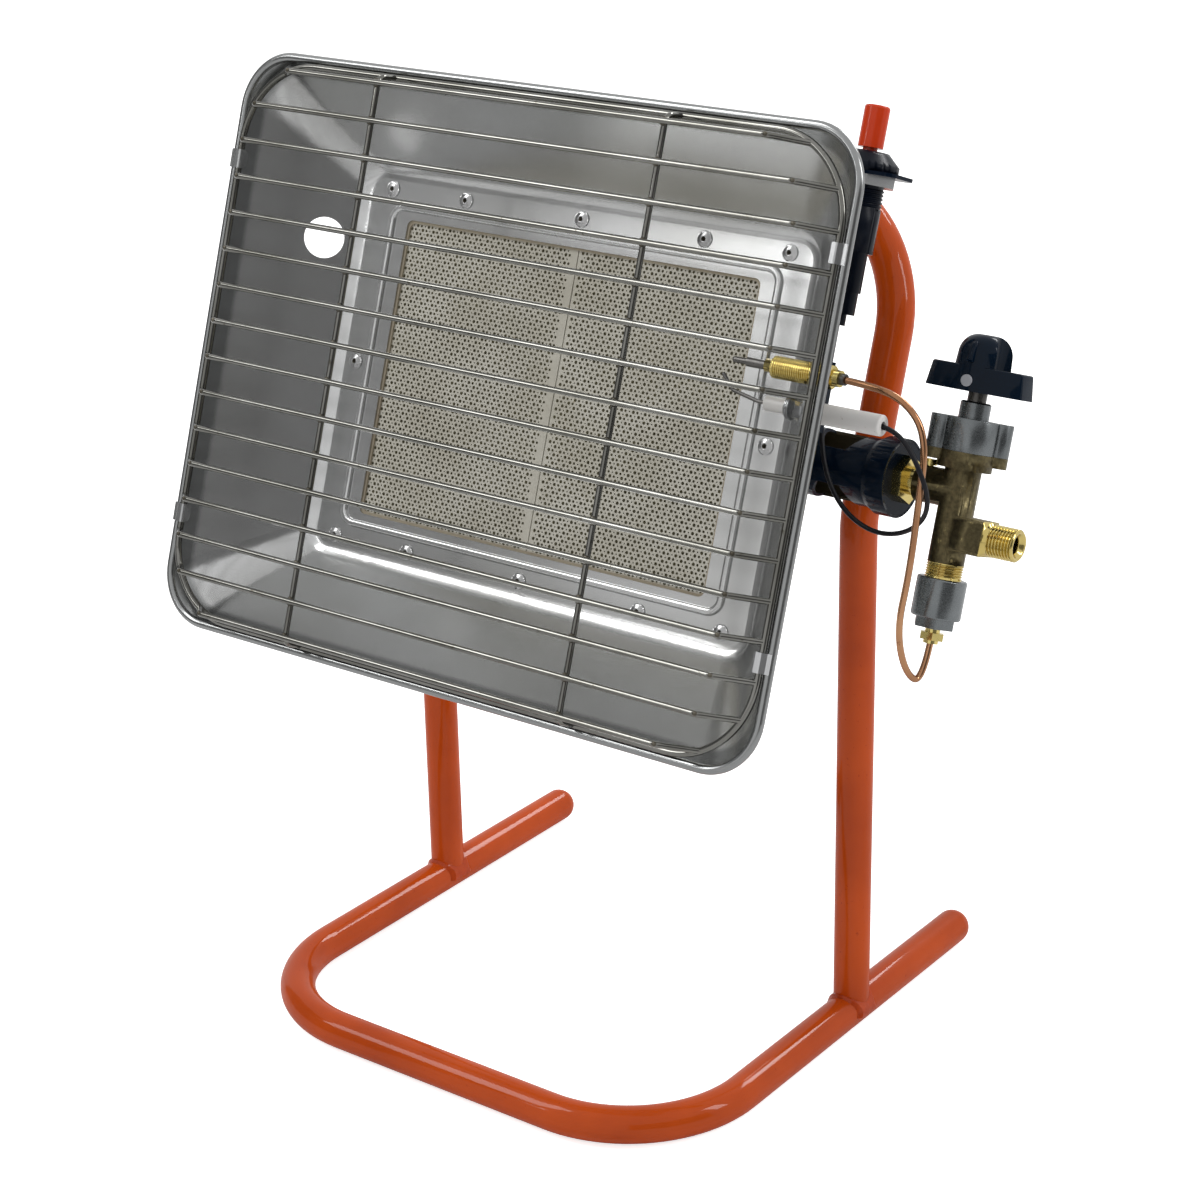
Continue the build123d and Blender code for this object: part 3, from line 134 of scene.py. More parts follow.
def startGroup(name, inputs, outputs):
    group = bpy.data.node_groups.new(name, "ShaderNodeTree")
    for label, kind, value in inputs:
        socket = group.interface.new_socket(name=label, in_out="INPUT", socket_type=kind)
        socket.default_value = value
    for label in outputs:
        group.interface.new_socket(name=label, in_out="OUTPUT", socket_type="NodeSocketFloat")
    return group, group.nodes.new("NodeGroupInput"), group.nodes.new("NodeGroupOutput")


def addNode(tree, kind, **settings):
    node = tree.nodes.new(kind)
    for key, value in settings.items():
        if key in node.inputs:
            node.inputs[key].default_value = value
        else:
            setattr(node, key, value)
    return node


def ramp(tree, source, low, high, lowColour, highColour):
    node = tree.nodes.new("ShaderNodeValToRGB")
    node.color_ramp.elements[0].position = low
    node.color_ramp.elements[1].position = high
    node.color_ramp.elements[0].color = (*lowColour, 1)
    node.color_ramp.elements[1].color = (*highColour, 1)
    tree.links.new(source, node.inputs["Fac"])
    return node.outputs["Color"]


def spread(tree, source, low, high, toLow, toHigh):
    node = addNode(tree, "ShaderNodeMapRange")
    limits = (("From Min", low), ("From Max", high), ("To Min", toLow), ("To Max", toHigh))
    for label, value in limits:
        node.inputs[label].default_value = value
    tree.links.new(source, node.inputs["Value"])
    return node.outputs["Result"]


def mixColours(tree, mask, base, colour):
    # lays a colour over the base where the mask is 1; 6, 7 and 2 are the node's colour sockets
    mix = addNode(tree, "ShaderNodeMix", data_type="RGBA")
    tree.links.new(mask, mix.inputs["Factor"])
    tree.links.new(base, mix.inputs[6])
    mix.inputs[7].default_value = (*colour, 1)
    return mix.outputs[2]


def makeGrainGroup():
    # fine noise that can be drawn out along one axis, and a broad cloud for uneven colour
    inputs = [("Stretch", "NodeSocketVector", (1, 1, 1)), ("Fine", "NodeSocketFloat", 900.0),
              ("Broad", "NodeSocketFloat", 25.0)]
    group, start, end = startGroup("drawnGrain", inputs, ["Grain", "Cloud"])
    where = addNode(group, "ShaderNodeTexCoord")
    mapping = addNode(group, "ShaderNodeMapping")
    group.links.new(where.outputs["Object"], mapping.inputs["Vector"])
    group.links.new(start.outputs["Stretch"], mapping.inputs["Scale"])
    layers = (("Fine", "Grain", mapping.outputs["Vector"], 4.0),
              ("Broad", "Cloud", where.outputs["Object"], 3.0))
    for size, result, source, detail in layers:
        noise = addNode(group, "ShaderNodeTexNoise", Detail=detail, Roughness=0.55)
        group.links.new(source, noise.inputs["Vector"])
        group.links.new(start.outputs[size], noise.inputs["Scale"])
        group.links.new(noise.outputs["Fac"], end.inputs[result])
    return group


def makeSpeckGroup():
    # sparse small marks, 1 on a mark and 0 between
    softEdge = 0.05
    inputs = [("Size", "NodeSocketFloat", 220.0), ("Rare", "NodeSocketFloat", 0.66)]
    group, start, end = startGroup("sparseSpecks", inputs, ["Mask"])
    where = addNode(group, "ShaderNodeTexCoord")
    speck = addNode(group, "ShaderNodeTexNoise", Detail=5.0, Roughness=0.7)
    high = addNode(group, "ShaderNodeMapRange")
    top = addNode(group, "ShaderNodeMath", operation="ADD")
    top.inputs[1].default_value = softEdge
    group.links.new(where.outputs["Object"], speck.inputs["Vector"])
    group.links.new(start.outputs["Size"], speck.inputs["Scale"])
    group.links.new(speck.outputs["Fac"], high.inputs["Value"])
    group.links.new(start.outputs["Rare"], high.inputs["From Min"])
    group.links.new(start.outputs["Rare"], top.inputs[0])
    group.links.new(top.outputs["Value"], high.inputs["From Max"])
    group.links.new(high.outputs["Result"], end.inputs["Mask"])
    return group


grainGroup = makeGrainGroup()
speckGroup = makeSpeckGroup()

# the parts of the two noises' range that colour and roughness are drawn from
cloudRange = (0.32, 0.68)
grainRange = (0.3, 0.7)


def newFinish(name):
    material = bpy.data.materials.new(name)
    material.use_nodes = True
    return material, material.node_tree, material.node_tree.nodes["Principled BSDF"]


def useGroup(tree, group, **values):
    node = tree.nodes.new("ShaderNodeGroup")
    node.node_tree = group
    for key, value in values.items():
        node.inputs[key].default_value = value
    return node


def bumpFrom(tree, shader, height, distance):
    bump = addNode(tree, "ShaderNodeBump", Strength=1.0, Distance=distance)
    tree.links.new(height, bump.inputs["Height"])
    tree.links.new(bump.outputs["Normal"], shader.inputs["Normal"])


def colourFrom(tree, shader, cloud, dark, light, specks, size, rare):
    # a cloudy colour, with sparse marks of another colour in it if there are any
    colour = ramp(tree, cloud, *cloudRange, dark, light)
    if specks:
        marks = useGroup(tree, speckGroup, Size=size, Rare=rare)
        colour = mixColours(tree, marks.outputs["Mask"], colour, specks)
    tree.links.new(colour, shader.inputs["Base Color"])


def metalFinish(name, dark, light, rough, depth, stretch=(1, 1, 1), fine=900.0, broad=25.0,
                specks=None):
    material, tree, shader = newFinish(name)
    shader.inputs["Metallic"].default_value = 1
    grain = useGroup(tree, grainGroup, Stretch=stretch, Fine=fine, Broad=broad)
    colourFrom(tree, shader, grain.outputs["Cloud"], dark, light, specks, size=300.0, rare=0.63)
    roughness = spread(tree, grain.outputs["Grain"], *grainRange, *rough)
    tree.links.new(roughness, shader.inputs["Roughness"])
    bumpFrom(tree, shader, grain.outputs["Grain"], depth)
    return material


def paintFinish(name, dark, light, rough, depth, coat=0.0, shine=0.5, fine=700.0, broad=18.0,
                specks=None):
    material, tree, shader = newFinish(name)
    grain = useGroup(tree, grainGroup, Fine=fine, Broad=broad)
    colourFrom(tree, shader, grain.outputs["Cloud"], dark, light, specks, size=420.0, rare=0.64)
    roughness = spread(tree, grain.outputs["Cloud"], *grainRange, *rough)
    tree.links.new(roughness, shader.inputs["Roughness"])
    shader.inputs["Specular IOR Level"].default_value = shine
    shader.inputs["Coat Weight"].default_value = coat
    shader.inputs["Coat Roughness"].default_value = 0.04
    bumpFrom(tree, shader, grain.outputs["Grain"], depth)
    return material


# darker and lighter colour, then the roughness range; depth is the bump's, in metres
finishes = {
    "orange_paint": paintFinish(
        "orangeCoat", (0.4, 0.05, 0.004), (0.53, 0.072, 0.006), (0.28, 0.38), coat=0.36,
        shine=0.02, fine=260.0, depth=1e-5, specks=(0.37, 0.043, 0.004)),
    "reflector_steel": metalFinish(
        "reflectorSheet", (0.47, 0.472, 0.462), (0.56, 0.565, 0.565), (0.215, 0.235),
        stretch=(0.2, 1, 1), fine=500.0, broad=12.0, depth=2e-8),
    "plated_wire": metalFinish(
        "platedWire", (0.12, 0.118, 0.105), (0.2, 0.198, 0.185), (0.08, 0.14), depth=1e-7,
        specks=(0.08, 0.075, 0.06)),
    "zinc_plate": metalFinish(
        "zincPlate", (0.34, 0.345, 0.345), (0.48, 0.485, 0.49), (0.22, 0.26), depth=4e-8),
    "rivet_alloy": metalFinish(
        "rivetAlloy", (0.32, 0.32, 0.32), (0.46, 0.46, 0.46), (0.22, 0.26), depth=4e-8),
    "zinc_casting": metalFinish(
        "zincCasting", (0.13, 0.14, 0.145), (0.18, 0.192, 0.198), (0.25, 0.3), broad=60.0,
        depth=3e-8),
    "fibre_gasket": paintFinish(
        "fibreGasket", (0.3, 0.25, 0.18), (0.4, 0.35, 0.26), (0.8, 0.95), depth=5e-5),
    "black_enamel": paintFinish(
        "blackEnamel", (0.001, 0.0045, 0.012), (0.0025, 0.0085, 0.02), (0.2, 0.3), coat=0.12,
        shine=0.03, fine=320.0, depth=8e-6, specks=(0.009, 0.012, 0.018)),
    "cast_brass": metalFinish(
        "castBrass", (0.085, 0.07, 0.038), (0.16, 0.132, 0.068), (0.34, 0.5), fine=1500.0,
        broad=600.0, depth=3e-5, specks=(0.3, 0.24, 0.11)),
    "machined_brass": metalFinish(
        "turnedBrass", (0.5, 0.39, 0.13), (0.64, 0.52, 0.2), (0.12, 0.2), depth=5e-8,
        specks=(0.36, 0.27, 0.09)),
    "copper_tube": metalFinish(
        "drawnCopper", (0.3, 0.145, 0.075), (0.46, 0.25, 0.135), (0.14, 0.2), depth=5e-8,
        specks=(0.27, 0.13, 0.07)),
    "dark_steel": metalFinish(
        "darkSteel", (0.08, 0.077, 0.073), (0.16, 0.155, 0.148), (0.26, 0.4), depth=6e-7),
    "knob_plastic": paintFinish(
        "knobPlastic", (0.001, 0.006, 0.015), (0.002, 0.009, 0.021), (0.22, 0.3), coat=0.2,
        shine=0.03, fine=1200.0, depth=6e-7, specks=(0.005, 0.008, 0.014)),
    "black_plastic": paintFinish(
        "blackPlastic", (0.002, 0.0035, 0.008), (0.004, 0.0065, 0.013), (0.26, 0.38), shine=0.1,
        fine=1500.0, depth=3e-6),
    "red_plastic": paintFinish(
        "buttonPlastic", (0.55, 0.04, 0.006), (0.64, 0.05, 0.009), (0.24, 0.32), coat=0.3,
        shine=0.08, fine=1200.0, depth=8e-7),
    "white_ceramic": paintFinish(
        "whiteCeramic", (0.64, 0.625, 0.6), (0.74, 0.725, 0.71), (0.3, 0.46), shine=0.35,
        fine=900.0, depth=6e-6, specks=(0.48, 0.45, 0.39)),
    "lead_rubber": paintFinish(
        "leadRubber", (0.004, 0.004, 0.006), (0.007, 0.007, 0.01), (0.3, 0.42), shine=0.2,
        depth=4e-6),
    "burner_ceramic": paintFinish(
        "burnerCeramic", (0.5, 0.475, 0.4), (0.61, 0.59, 0.52), (0.85, 0.95), shine=0.1,
        fine=2200.0, broad=40.0, depth=3e-5, specks=(0.42, 0.38, 0.29)),
}
# painted shade: the pits are coloured darker than the ceramic face, standing in for the shade down
# the holes
pitShadePaint = paintFinish("pitShadePaint", (0.3, 0.28, 0.2), (0.42, 0.395, 0.29), (0.9, 0.95),
                         shine=0.05, fine=1500.0, depth=2e-5)
weldCoat = paintFinish("weldCoat", (0.34, 0.036, 0.004), (0.46, 0.056, 0.006), (0.26, 0.36),
                       coat=0.3, shine=0.1, fine=330.0, broad=120.0, depth=3e-4)
tubeInside = paintFinish("tubeInside", (0.03, 0.024, 0.013), (0.075, 0.06, 0.032), (0.4, 0.6),
                         shine=0.2, fine=400.0, depth=1e-5)
# dark scale on the grille's weld spots, and painted shade inside the rivets' mandrel holes
weldScaleAndHoleShade = metalFinish("weldScaleAndHoleShade", (0.05, 0.045, 0.034), (0.12, 0.11, 0.09), (0.3, 0.5),
                        fine=2500.0, depth=4e-6)
markPaint = paintFinish("markPaint", (0.36, 0.37, 0.4), (0.44, 0.45, 0.48), (0.4, 0.5),
                        shine=0.3, fine=1500.0, depth=2e-6)


def paintRimShade(material):
    # painted shade: the rolled rim, the head's foremost millimetres, is coloured a darker grey
    # than the sheet behind it, standing in for the darker surroundings it mirrors
    rimShade = {"from": -6.5, "to": -4.5, "colour": (0.26, 0.265, 0.265)}
    tree = material.node_tree
    shader = tree.nodes["Principled BSDF"]
    sheetColour = shader.inputs["Base Color"].links[0].from_socket
    where = addNode(tree, "ShaderNodeTexCoord")
    front = addNode(tree, "ShaderNodeVectorMath", operation="DOT_PRODUCT")
    front.inputs[1].default_value = nDir
    tree.links.new(where.outputs["Object"], front.inputs[0])
    low, high = ((headOrigin.dot(nDir) + rimShade[end]) / 1000 for end in ("from", "to"))
    mask = spread(tree, front.outputs["Value"], low, high, 0, 1)
    colour = mixColours(tree, mask, sheetColour, rimShade["colour"])
    tree.links.new(colour, shader.inputs["Base Color"])


paintRimShade(finishes["reflector_steel"])
sparkLead.data.materials.append(finishes["lead_rubber"])
copperTube.data.materials.append(finishes["copper_tube"])

for part in frame["record"]["subparts"]:
    target = nodes[part["node"]]
    target.data.materials.clear()
    target.data.materials.append(finishes[part["material_slot"]])
nodes["weld_beads"].data.materials[0] = weldCoat
print("finishes given to", len(nodes), "nodes")


def clearSelection():
    if bpy.context.mode != "OBJECT":
        bpy.ops.object.mode_set(mode="OBJECT")
    bpy.ops.object.select_all(action="DESELECT")


def selectOnly(piece):
    clearSelection()
    piece.select_set(True)
    bpy.context.view_layer.objects.active = piece


def startPiece(name, add, **settings):
    # a fresh primitive, alone in the selection
    clearSelection()
    add(**settings)
    piece = bpy.context.active_object
    piece.name = piece.data.name = name
    return piece


def applyPlace():
    bpy.ops.object.transform_apply(location=True, rotation=True, scale=True)


def middleOf(item, kind):
    if kind == "verts":
        return item.co
    return sum((v.co for v in item.verts), Vector()) / len(item.verts)


def pick(piece, kind, test):
    # selects the vertices, edges or faces whose middle passes the test
    selectOnly(piece)
    bpy.ops.object.mode_set(mode="EDIT")
    bpy.ops.mesh.select_mode(type={"verts": "VERT", "edges": "EDGE", "faces": "FACE"}[kind])
    bpy.ops.mesh.select_all(action="DESELECT")
    mesh = bmesh.from_edit_mesh(piece.data)
    for item in getattr(mesh, kind):
        if test(middleOf(item, kind), item):
            item.select_set(True)
    mesh.select_flush_mode()
    bmesh.update_edit_mesh(piece.data)


def editAll(piece):
    selectOnly(piece)
    bpy.ops.object.mode_set(mode="EDIT")
    bpy.ops.mesh.select_mode(type="VERT")
    bpy.ops.mesh.select_all(action="SELECT")


def pullOut(extrude, x=0, y=0, z=0):
    # an extrude operator, moved by millimetres
    extrude(TRANSFORM_OT_translate={"value": (x / 1000, y / 1000, z / 1000)})


def applyModifier(piece, kind, **settings):
    selectOnly(piece)
    modifier = piece.modifiers.new(kind.lower(), kind)
    for key, value in settings.items():
        setattr(modifier, key, value)
    bpy.ops.object.modifier_apply(modifier=modifier.name)


def bakePlace(piece, place):
    selectOnly(piece)
    piece.matrix_world = place @ piece.matrix_world
    applyPlace()


def settle(piece, place, slot, finish=None, replaces=(), body="heater", crease=35):
    # gives the piece its finish, its place in its mesh and the body it rides on
    editAll(piece)
    bpy.ops.mesh.normals_make_consistent(inside=False)
    bakePlace(piece, place)
    bpy.ops.object.shade_smooth_by_angle(angle=radians(crease))
    if not piece.data.materials:
        piece.data.materials.append(finish or finishes[slot])
    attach(piece, body)
    if replaces:
        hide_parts(*replaces)


def copyNode(node, name, place):
    # a merged copy of a solid, brought into its own place to be worked on
    selectOnly(nodes[node])
    bpy.ops.object.duplicate()
    piece = bpy.context.active_object
    piece.parent = None
    for key in list(piece.keys()):
        del piece[key]
    piece.name = piece.data.name = name
    editAll(piece)
    bpy.ops.mesh.remove_doubles(threshold=0.000002)
    bakePlace(piece, place.inverted())
    return piece


def joinInto(piece, others):
    selectOnly(piece)
    for other in others:
        other.select_set(True)
    bpy.ops.object.join()
    return piece


def helixRidge(facts, finish):
    # one closed ridge wound round Z: a trapezium of the thread's profile, screwed up its pitch
    sunk, crestShare, turnSteps = 0.1, 0.22, 26
    pitch, top, root = facts["pitch"], facts["radius"], facts["radius"] - facts["depth"]
    start = facts["start"] / 1000
    ridge = startPiece("ridge", bpy.ops.mesh.primitive_plane_add, size=1 / 1000,
                       rotation=(pi / 2, 0, 0))
    ridge.scale = (top - root + sunk, pitch, 1)
    ridge.location = ((top + root - sunk) / 2000, 0, start)
    applyPlace()
    pick(ridge, "verts", lambda c, v: c.x > (top + root) / 2000)
    bpy.ops.transform.resize(value=(1, 1, crestShare), center_override=(0, 0, start))
    bpy.ops.mesh.select_all(action="SELECT")
    bpy.ops.mesh.delete(type="ONLY_FACE")
    turnsUp = (facts["end"] - facts["start"]) / pitch
    steps = int(turnSteps * turnsUp)
    applyModifier(ridge, "SCREW", axis="Z", angle=facts.get("hand", 1) * 2 * pi * turnsUp,
                  screw_offset=pitch * turnsUp / 1000, iterations=1, steps=steps,
                  render_steps=steps, use_merge_vertices=False)
    editAll(ridge)
    bpy.ops.mesh.fill_holes(sides=4)
    ridge.data.materials.append(finish)
    return ridge


def threadBand(piece, facts):
    # waists the plain major diameter between two run-outs, ready for the ridge
    runOut, inside, skin = (-0.5, 0.1), 0.05, 0.15
    radius, start, end = facts["radius"], facts["start"], facts["end"]
    editAll(piece)
    for height in runOut:
        for level in (start + height, end - height):
            bpy.ops.mesh.select_all(action="SELECT")
            bpy.ops.mesh.bisect(plane_co=(0, 0, level / 1000), plane_no=(0, 0, 1))
    low, high = (start + inside) / 1000, (end - inside) / 1000
    inner, outer = (radius - skin) / 1000, (radius + skin) / 1000
    share = (radius - facts["depth"]) / radius
    pick(piece, "verts",
         lambda c, v: low < c.z < high and inner < Vector((c.x, c.y)).length < outer)
    bpy.ops.transform.resize(value=(share, share, 1), center_override=(0, 0, 0))
    bpy.ops.object.mode_set(mode="OBJECT")


def giveFinish(piece, finish, test):
    # one more finish, for the faces that pass the test
    piece.data.materials.append(finish)
    piece.active_material_index = len(piece.data.materials) - 1
    pick(piece, "faces", test)
    bpy.ops.object.material_slot_assign()
    bpy.ops.object.mode_set(mode="OBJECT")


def makePit(middle, facts, diameter):
    # one cell of the face with a round pit in it
    cell = startPiece("cell", bpy.ops.mesh.primitive_plane_add, size=1 / 1000, location=middle)
    cell.scale = (facts["pitch"], facts["row"], 1)
    applyPlace()
    editAll(cell)
    bpy.ops.mesh.subdivide(number_cuts=1)
    pick(cell, "verts", lambda c, v: len(v.link_edges) == 4)
    bpy.ops.mesh.dissolve_verts()
    bpy.ops.mesh.select_all(action="SELECT")
    bpy.ops.mesh.inset(thickness=0.0001)
    bpy.ops.transform.tosphere(value=1, center_override=middle)
    mesh = bmesh.from_edit_mesh(cell.data)
    reach = max((v.co - Vector(middle)).length for v in mesh.verts if v.select)
    size = diameter / 2000 / reach
    bpy.ops.transform.resize(value=(size, size, 1), center_override=middle)
    pullOut(bpy.ops.mesh.extrude_region_move, z=-facts["pitDepth"])
    bpy.ops.object.mode_set(mode="OBJECT")
    return cell


def makeTile(name, node, facts):
    # six pits of three sizes are modelled, repeated over the face and framed into a closed slab
    across, up, tiny = 3, 2, 0.00001
    pitch, row, left = facts["pitch"], facts["row"], facts["left"]
    halfPitch = pitch / 2000
    cells = []
    for line in range(up):
        for column in range(across):
            x = left + (column + 0.5 + 0.5 * line) * pitch
            y = (line + 0.5) * row - facts["rows"] * row
            diameter = facts["holes"][(column + 2 * line) % across]
            cells.append(makePit((x / 1000, y / 1000, 0), facts, diameter))
    tile = joinInto(cells[0], cells[1:])
    tile.name = tile.data.name = name
    merge = {"use_relative_offset": False, "use_constant_offset": True,
             "use_merge_vertices": True, "merge_threshold": tiny}
    applyModifier(tile, "ARRAY", count=facts["columns"],
                  constant_offset_displace=(across * pitch / 1000, 0, 0), **merge)
    applyModifier(tile, "ARRAY", count=facts["rows"],
                  constant_offset_displace=(0, up * row / 1000, 0), **merge)
    editAll(tile)
    bpy.ops.mesh.remove_doubles(threshold=tiny)

    # squares off the half-pitch steps of the rows
    near, wide = left / 1000, (left + across * pitch * facts["columns"]) / 1000
    for edge, way in ((near + halfPitch, -1), (wide, 1)):
        pick(tile, "edges", lambda c, e: e.is_boundary and abs(c.x - edge) < 2 * tiny
             and abs(e.verts[0].co.x - e.verts[1].co.x) < tiny)
        pullOut(bpy.ops.mesh.extrude_edges_move, x=way * pitch / 2)
    editAll(tile)
    bpy.ops.mesh.remove_doubles(threshold=tiny)
    giveFinish(tile, finishes["burner_ceramic"], lambda c, f: True)
    # painted shade: the faces sunk below the tile's face take the darker pit colour
    giveFinish(tile, pitShadePaint, lambda c, f: c.z < -tiny)

    # a flat frame out to the tile's own edges, then its sides and its back
    wide += halfPitch
    grow = (facts["right"] - facts["near"]) / 1000 / (wide - near)
    centre = (facts["near"] / 1000 - grow * near) / (1 - grow)
    tall = facts["height"] / (up * facts["rows"] * row)
    pick(tile, "edges", lambda c, e: e.is_boundary)
    pullOut(bpy.ops.mesh.extrude_edges_move)
    bpy.ops.transform.resize(value=(grow, tall, 1), center_override=(centre, 0, 0))
    pullOut(bpy.ops.mesh.extrude_edges_move, z=-facts["thick"])
    bpy.ops.mesh.edge_face_add()
    settle(tile, along("N", n=facts["face"]), "burner_ceramic", replaces=(node,), crease=50)
    print(name, "faces:", len(tile.data.polygons))


tileFacts = {"pitch": 2.0, "row": 1.7320508, "holes": (1.56, 1.22, 0.7), "pitDepth": 1.2,
             "columns": 15, "rows": 38, "height": 139, "thick": 13, "face": -46.8}
rightTile = {**tileFacts, "left": 1.3, "near": 0.25, "right": 97}
leftTile = {**tileFacts, "left": -94.4, "near": -97, "right": -0.25}
makeTile("pierced_tile_right", "ceramic_tile_right", rightTile)
makeTile("pierced_tile_left", "ceramic_tile_left", leftTile)


def makeValveThreads():
    # inlet nipple and cap ring of the valve, with the machined faces left bright
    inlet = {"radius": 6.5785, "depth": 0.75, "pitch": 1.337, "start": 198.2, "end": 209.2,
             "hand": -1, "brightFrom": 196.75}
    ring = {"radius": 7.5, "depth": 0.6, "pitch": 1.0, "start": -37.6, "end": -32.5,
            "brightUnder": -31.9}
    inletPlace = along("U", 0, -19.5, valveN)
    ringPlace = along("V", valveU, 0, valveN)
    valve = copyNode("valve_body", "valve_casting", inletPlace)
    threadBand(valve, inlet)
    joinInto(valve, [helixRidge(inlet, finishes["cast_brass"])])
    giveFinish(valve, finishes["machined_brass"], lambda c, f: c.z > inlet["brightFrom"] / 1000)
    bakePlace(valve, ringPlace.inverted() @ inletPlace)
    threadBand(valve, ring)
    joinInto(valve, [helixRidge(ring, finishes["cast_brass"])])
    valve.active_material_index = 1
    pick(valve, "faces", lambda c, f: c.z < ring["brightUnder"] / 1000)
    bpy.ops.object.material_slot_assign()
    settle(valve, ringPlace, "cast_brass", replaces=("valve_body",), crease=40)


def addThread(node, name, place, slot, facts, waist=True):
    # a thread is cut into the solid; without the waist it stands on it as ribs
    piece = copyNode(node, name, place)
    if waist:
        threadBand(piece, facts)
    joinInto(piece, [helixRidge(facts, finishes[slot])])
    settle(piece, place, slot, replaces=(node,), crease=40)


sensorThread = {"radius": 4.5, "depth": 0.5, "pitch": 1.0, "start": 115.6, "end": 135.6}
barrelThread = {"radius": 8.75, "depth": 0.6, "pitch": 1.5, "start": 99.4, "end": 108.2}
makeValveThreads()
addThread("sensor_body", "sensor_thread", along("U", 0, 32, -30), "machined_brass", sensorThread)
addThread("igniter_body", "igniter_barrel", along("V", 118.5, 0, -65), "black_plastic",
          barrelThread)
print("threads cut")


def dissolveFlat(piece):
    editAll(piece)
    bpy.ops.mesh.dissolve_limited(angle_limit=radians(1.5))


def roundEdges(piece, width, segments=3):
    dissolveFlat(piece)
    applyModifier(piece, "BEVEL", width=width / 1000, segments=segments, limit_method="ANGLE",
                  angle_limit=radians(35), miter_outer="MITER_ARC")


def makeSoftEdges():
    # moulded and cast pieces lose their sharp arrises, and the knob's wings run into its column
    place = along("V", valveU, 0, valveN)
    hollow = {"wingTop": 46, "within": 0.4, "reach": 13, "fold": -0.6, "fillet": 2.2}

    def inHollow(c, e):
        return (e.is_manifold and e.calc_face_angle_signed() < hollow["fold"]
                and abs(c.z - hollow["wingTop"] / 1000) < hollow["within"] / 1000
                and Vector((c.x, c.y)).length < hollow["reach"] / 1000)

    knob = copyNode("knob", "knob_grip", place)
    dissolveFlat(knob)
    pick(knob, "edges", inHollow)
    bpy.ops.mesh.bevel(offset=hollow["fillet"] / 1000, segments=4, affect="EDGES",
                       clamp_overlap=True)
    roundEdges(knob, 0.6)
    settle(knob, place, "knob_plastic", replaces=("knob",), body="knob", crease=50)
    bonnet = copyNode("valve_bonnet", "bonnet_casting", place)
    roundEdges(bonnet, 0.45, segments=2)
    settle(bonnet, place, "zinc_casting", replaces=("valve_bonnet",), crease=50)
    cap = copyNode("magnet_cap", "cap_casting", place)
    roundEdges(cap, 0.8)
    settle(cap, place, "zinc_casting", replaces=("magnet_cap",), crease=50)


makeSoftEdges()
print("cast and moulded edges rounded")


def makeTubeLiner():
    # the mixing tube keeps a brown fired skin inside: the faces that look back to its axis
    inward = -0.0005
    place = along("U", 0, -3, valveN)
    tube = copyNode("mixing_tube", "mixing_tube_fired", place)
    tube.data.materials.clear()
    tube.data.materials.append(finishes["black_enamel"])
    giveFinish(tube, tubeInside, lambda c, f: f.normal.x * c.x + f.normal.y * c.y < inward)
    settle(tube, place, "black_enamel", replaces=("mixing_tube",), crease=40)


def makeRivetMouthShade():
    # painted shade: the mandrel holes of the blind rivets take the dark weld-scale finish,
    # standing in for the shade inside them
    rivets = {"row": 77, "along": (-103, -62, 0, 62, 103), "side": 108, "mouth": 1.06,
              "under": -46.5}
    spots = [(u, side * rivets["row"]) for side in (-1, 1) for u in rivets["along"]]
    spots += [(side * rivets["side"], 0) for side in (-1, 1)]

    def inMouth(c, f):
        return c.z > rivets["under"] / 1000 and any(
            Vector((c.x * 1000 - u, c.y * 1000 - v)).length < rivets["mouth"] for u, v in spots)

    place = along("N")
    piece = copyNode("burner_rivets", "rivets_open", place)
    # painted shade: the faces inside each mandrel hole get the dark finish
    giveFinish(piece, weldScaleAndHoleShade, inMouth)
    settle(piece, place, "rivet_alloy", replaces=("burner_rivets",), crease=30)


# the clamp's collar is ribbed where it grips the ceramic
clampRibs = {"radius": 4.85, "depth": 0.5, "pitch": 0.7, "start": 124.5, "end": 126.6}
makeTubeLiner()
addThread("electrode_clamp", "clamp_ribbed", along("U", 0, 17.5, -30), "zinc_plate", clampRibs,
          waist=False)
makeRivetMouthShade()
print("tube, clamp and rivets finished")


def makePointer():
    # the raised pointer on the knob's column
    facts = {"width": 2.8, "height": 8.6, "deep": 2.6, "taper": (0.72, 1, 0.9), "edge": 0.45,
             "v": 51.4, "out": 10.7, "lean": radians(17)}
    piece = startPiece("knob_pointer", bpy.ops.mesh.primitive_cube_add, size=1 / 1000)
    piece.scale = (facts["width"], facts["deep"], facts["height"])
    bpy.ops.object.transform_apply(scale=True)
    pick(piece, "verts", lambda c, v: c.y < 0)
    bpy.ops.transform.resize(value=facts["taper"], center_override=(0, 0, 0))
    editAll(piece)
    bpy.ops.mesh.bevel(offset=facts["edge"] / 1000, segments=3, affect="EDGES")
    spot = along("V", valveU, facts["v"], valveN + facts["out"])
    settle(piece, spot @ Matrix.Rotation(-facts["lean"], 4, "X"), "knob_plastic", body="knob")


def makeDot():
    # the pale dot on the knob's skirt
    facts = {"diameter": 4.7, "thick": 0.9, "edge": 0.12, "v": 39.9, "out": 12.25,
             "lean": radians(-8)}
    piece = startPiece("knob_dot", bpy.ops.mesh.primitive_circle_add, vertices=32,
                       radius=facts["diameter"] / 2000, fill_type="NGON", rotation=(pi / 2, 0, 0))
    bpy.ops.object.transform_apply(rotation=True)
    editAll(piece)
    pullOut(bpy.ops.mesh.extrude_region_move, y=facts["thick"])
    pick(piece, "edges", lambda c, e: all(abs(v.co.y) < 0.00001 for v in e.verts))
    bpy.ops.mesh.bevel(offset=facts["edge"] / 1000, segments=2)
    spot = along("V", valveU, facts["v"], valveN + facts["out"])
    settle(piece, spot @ Matrix.Rotation(-facts["lean"], 4, "X"), "white_ceramic",
           finish=markPaint, body="knob")


makePointer()
makeDot()


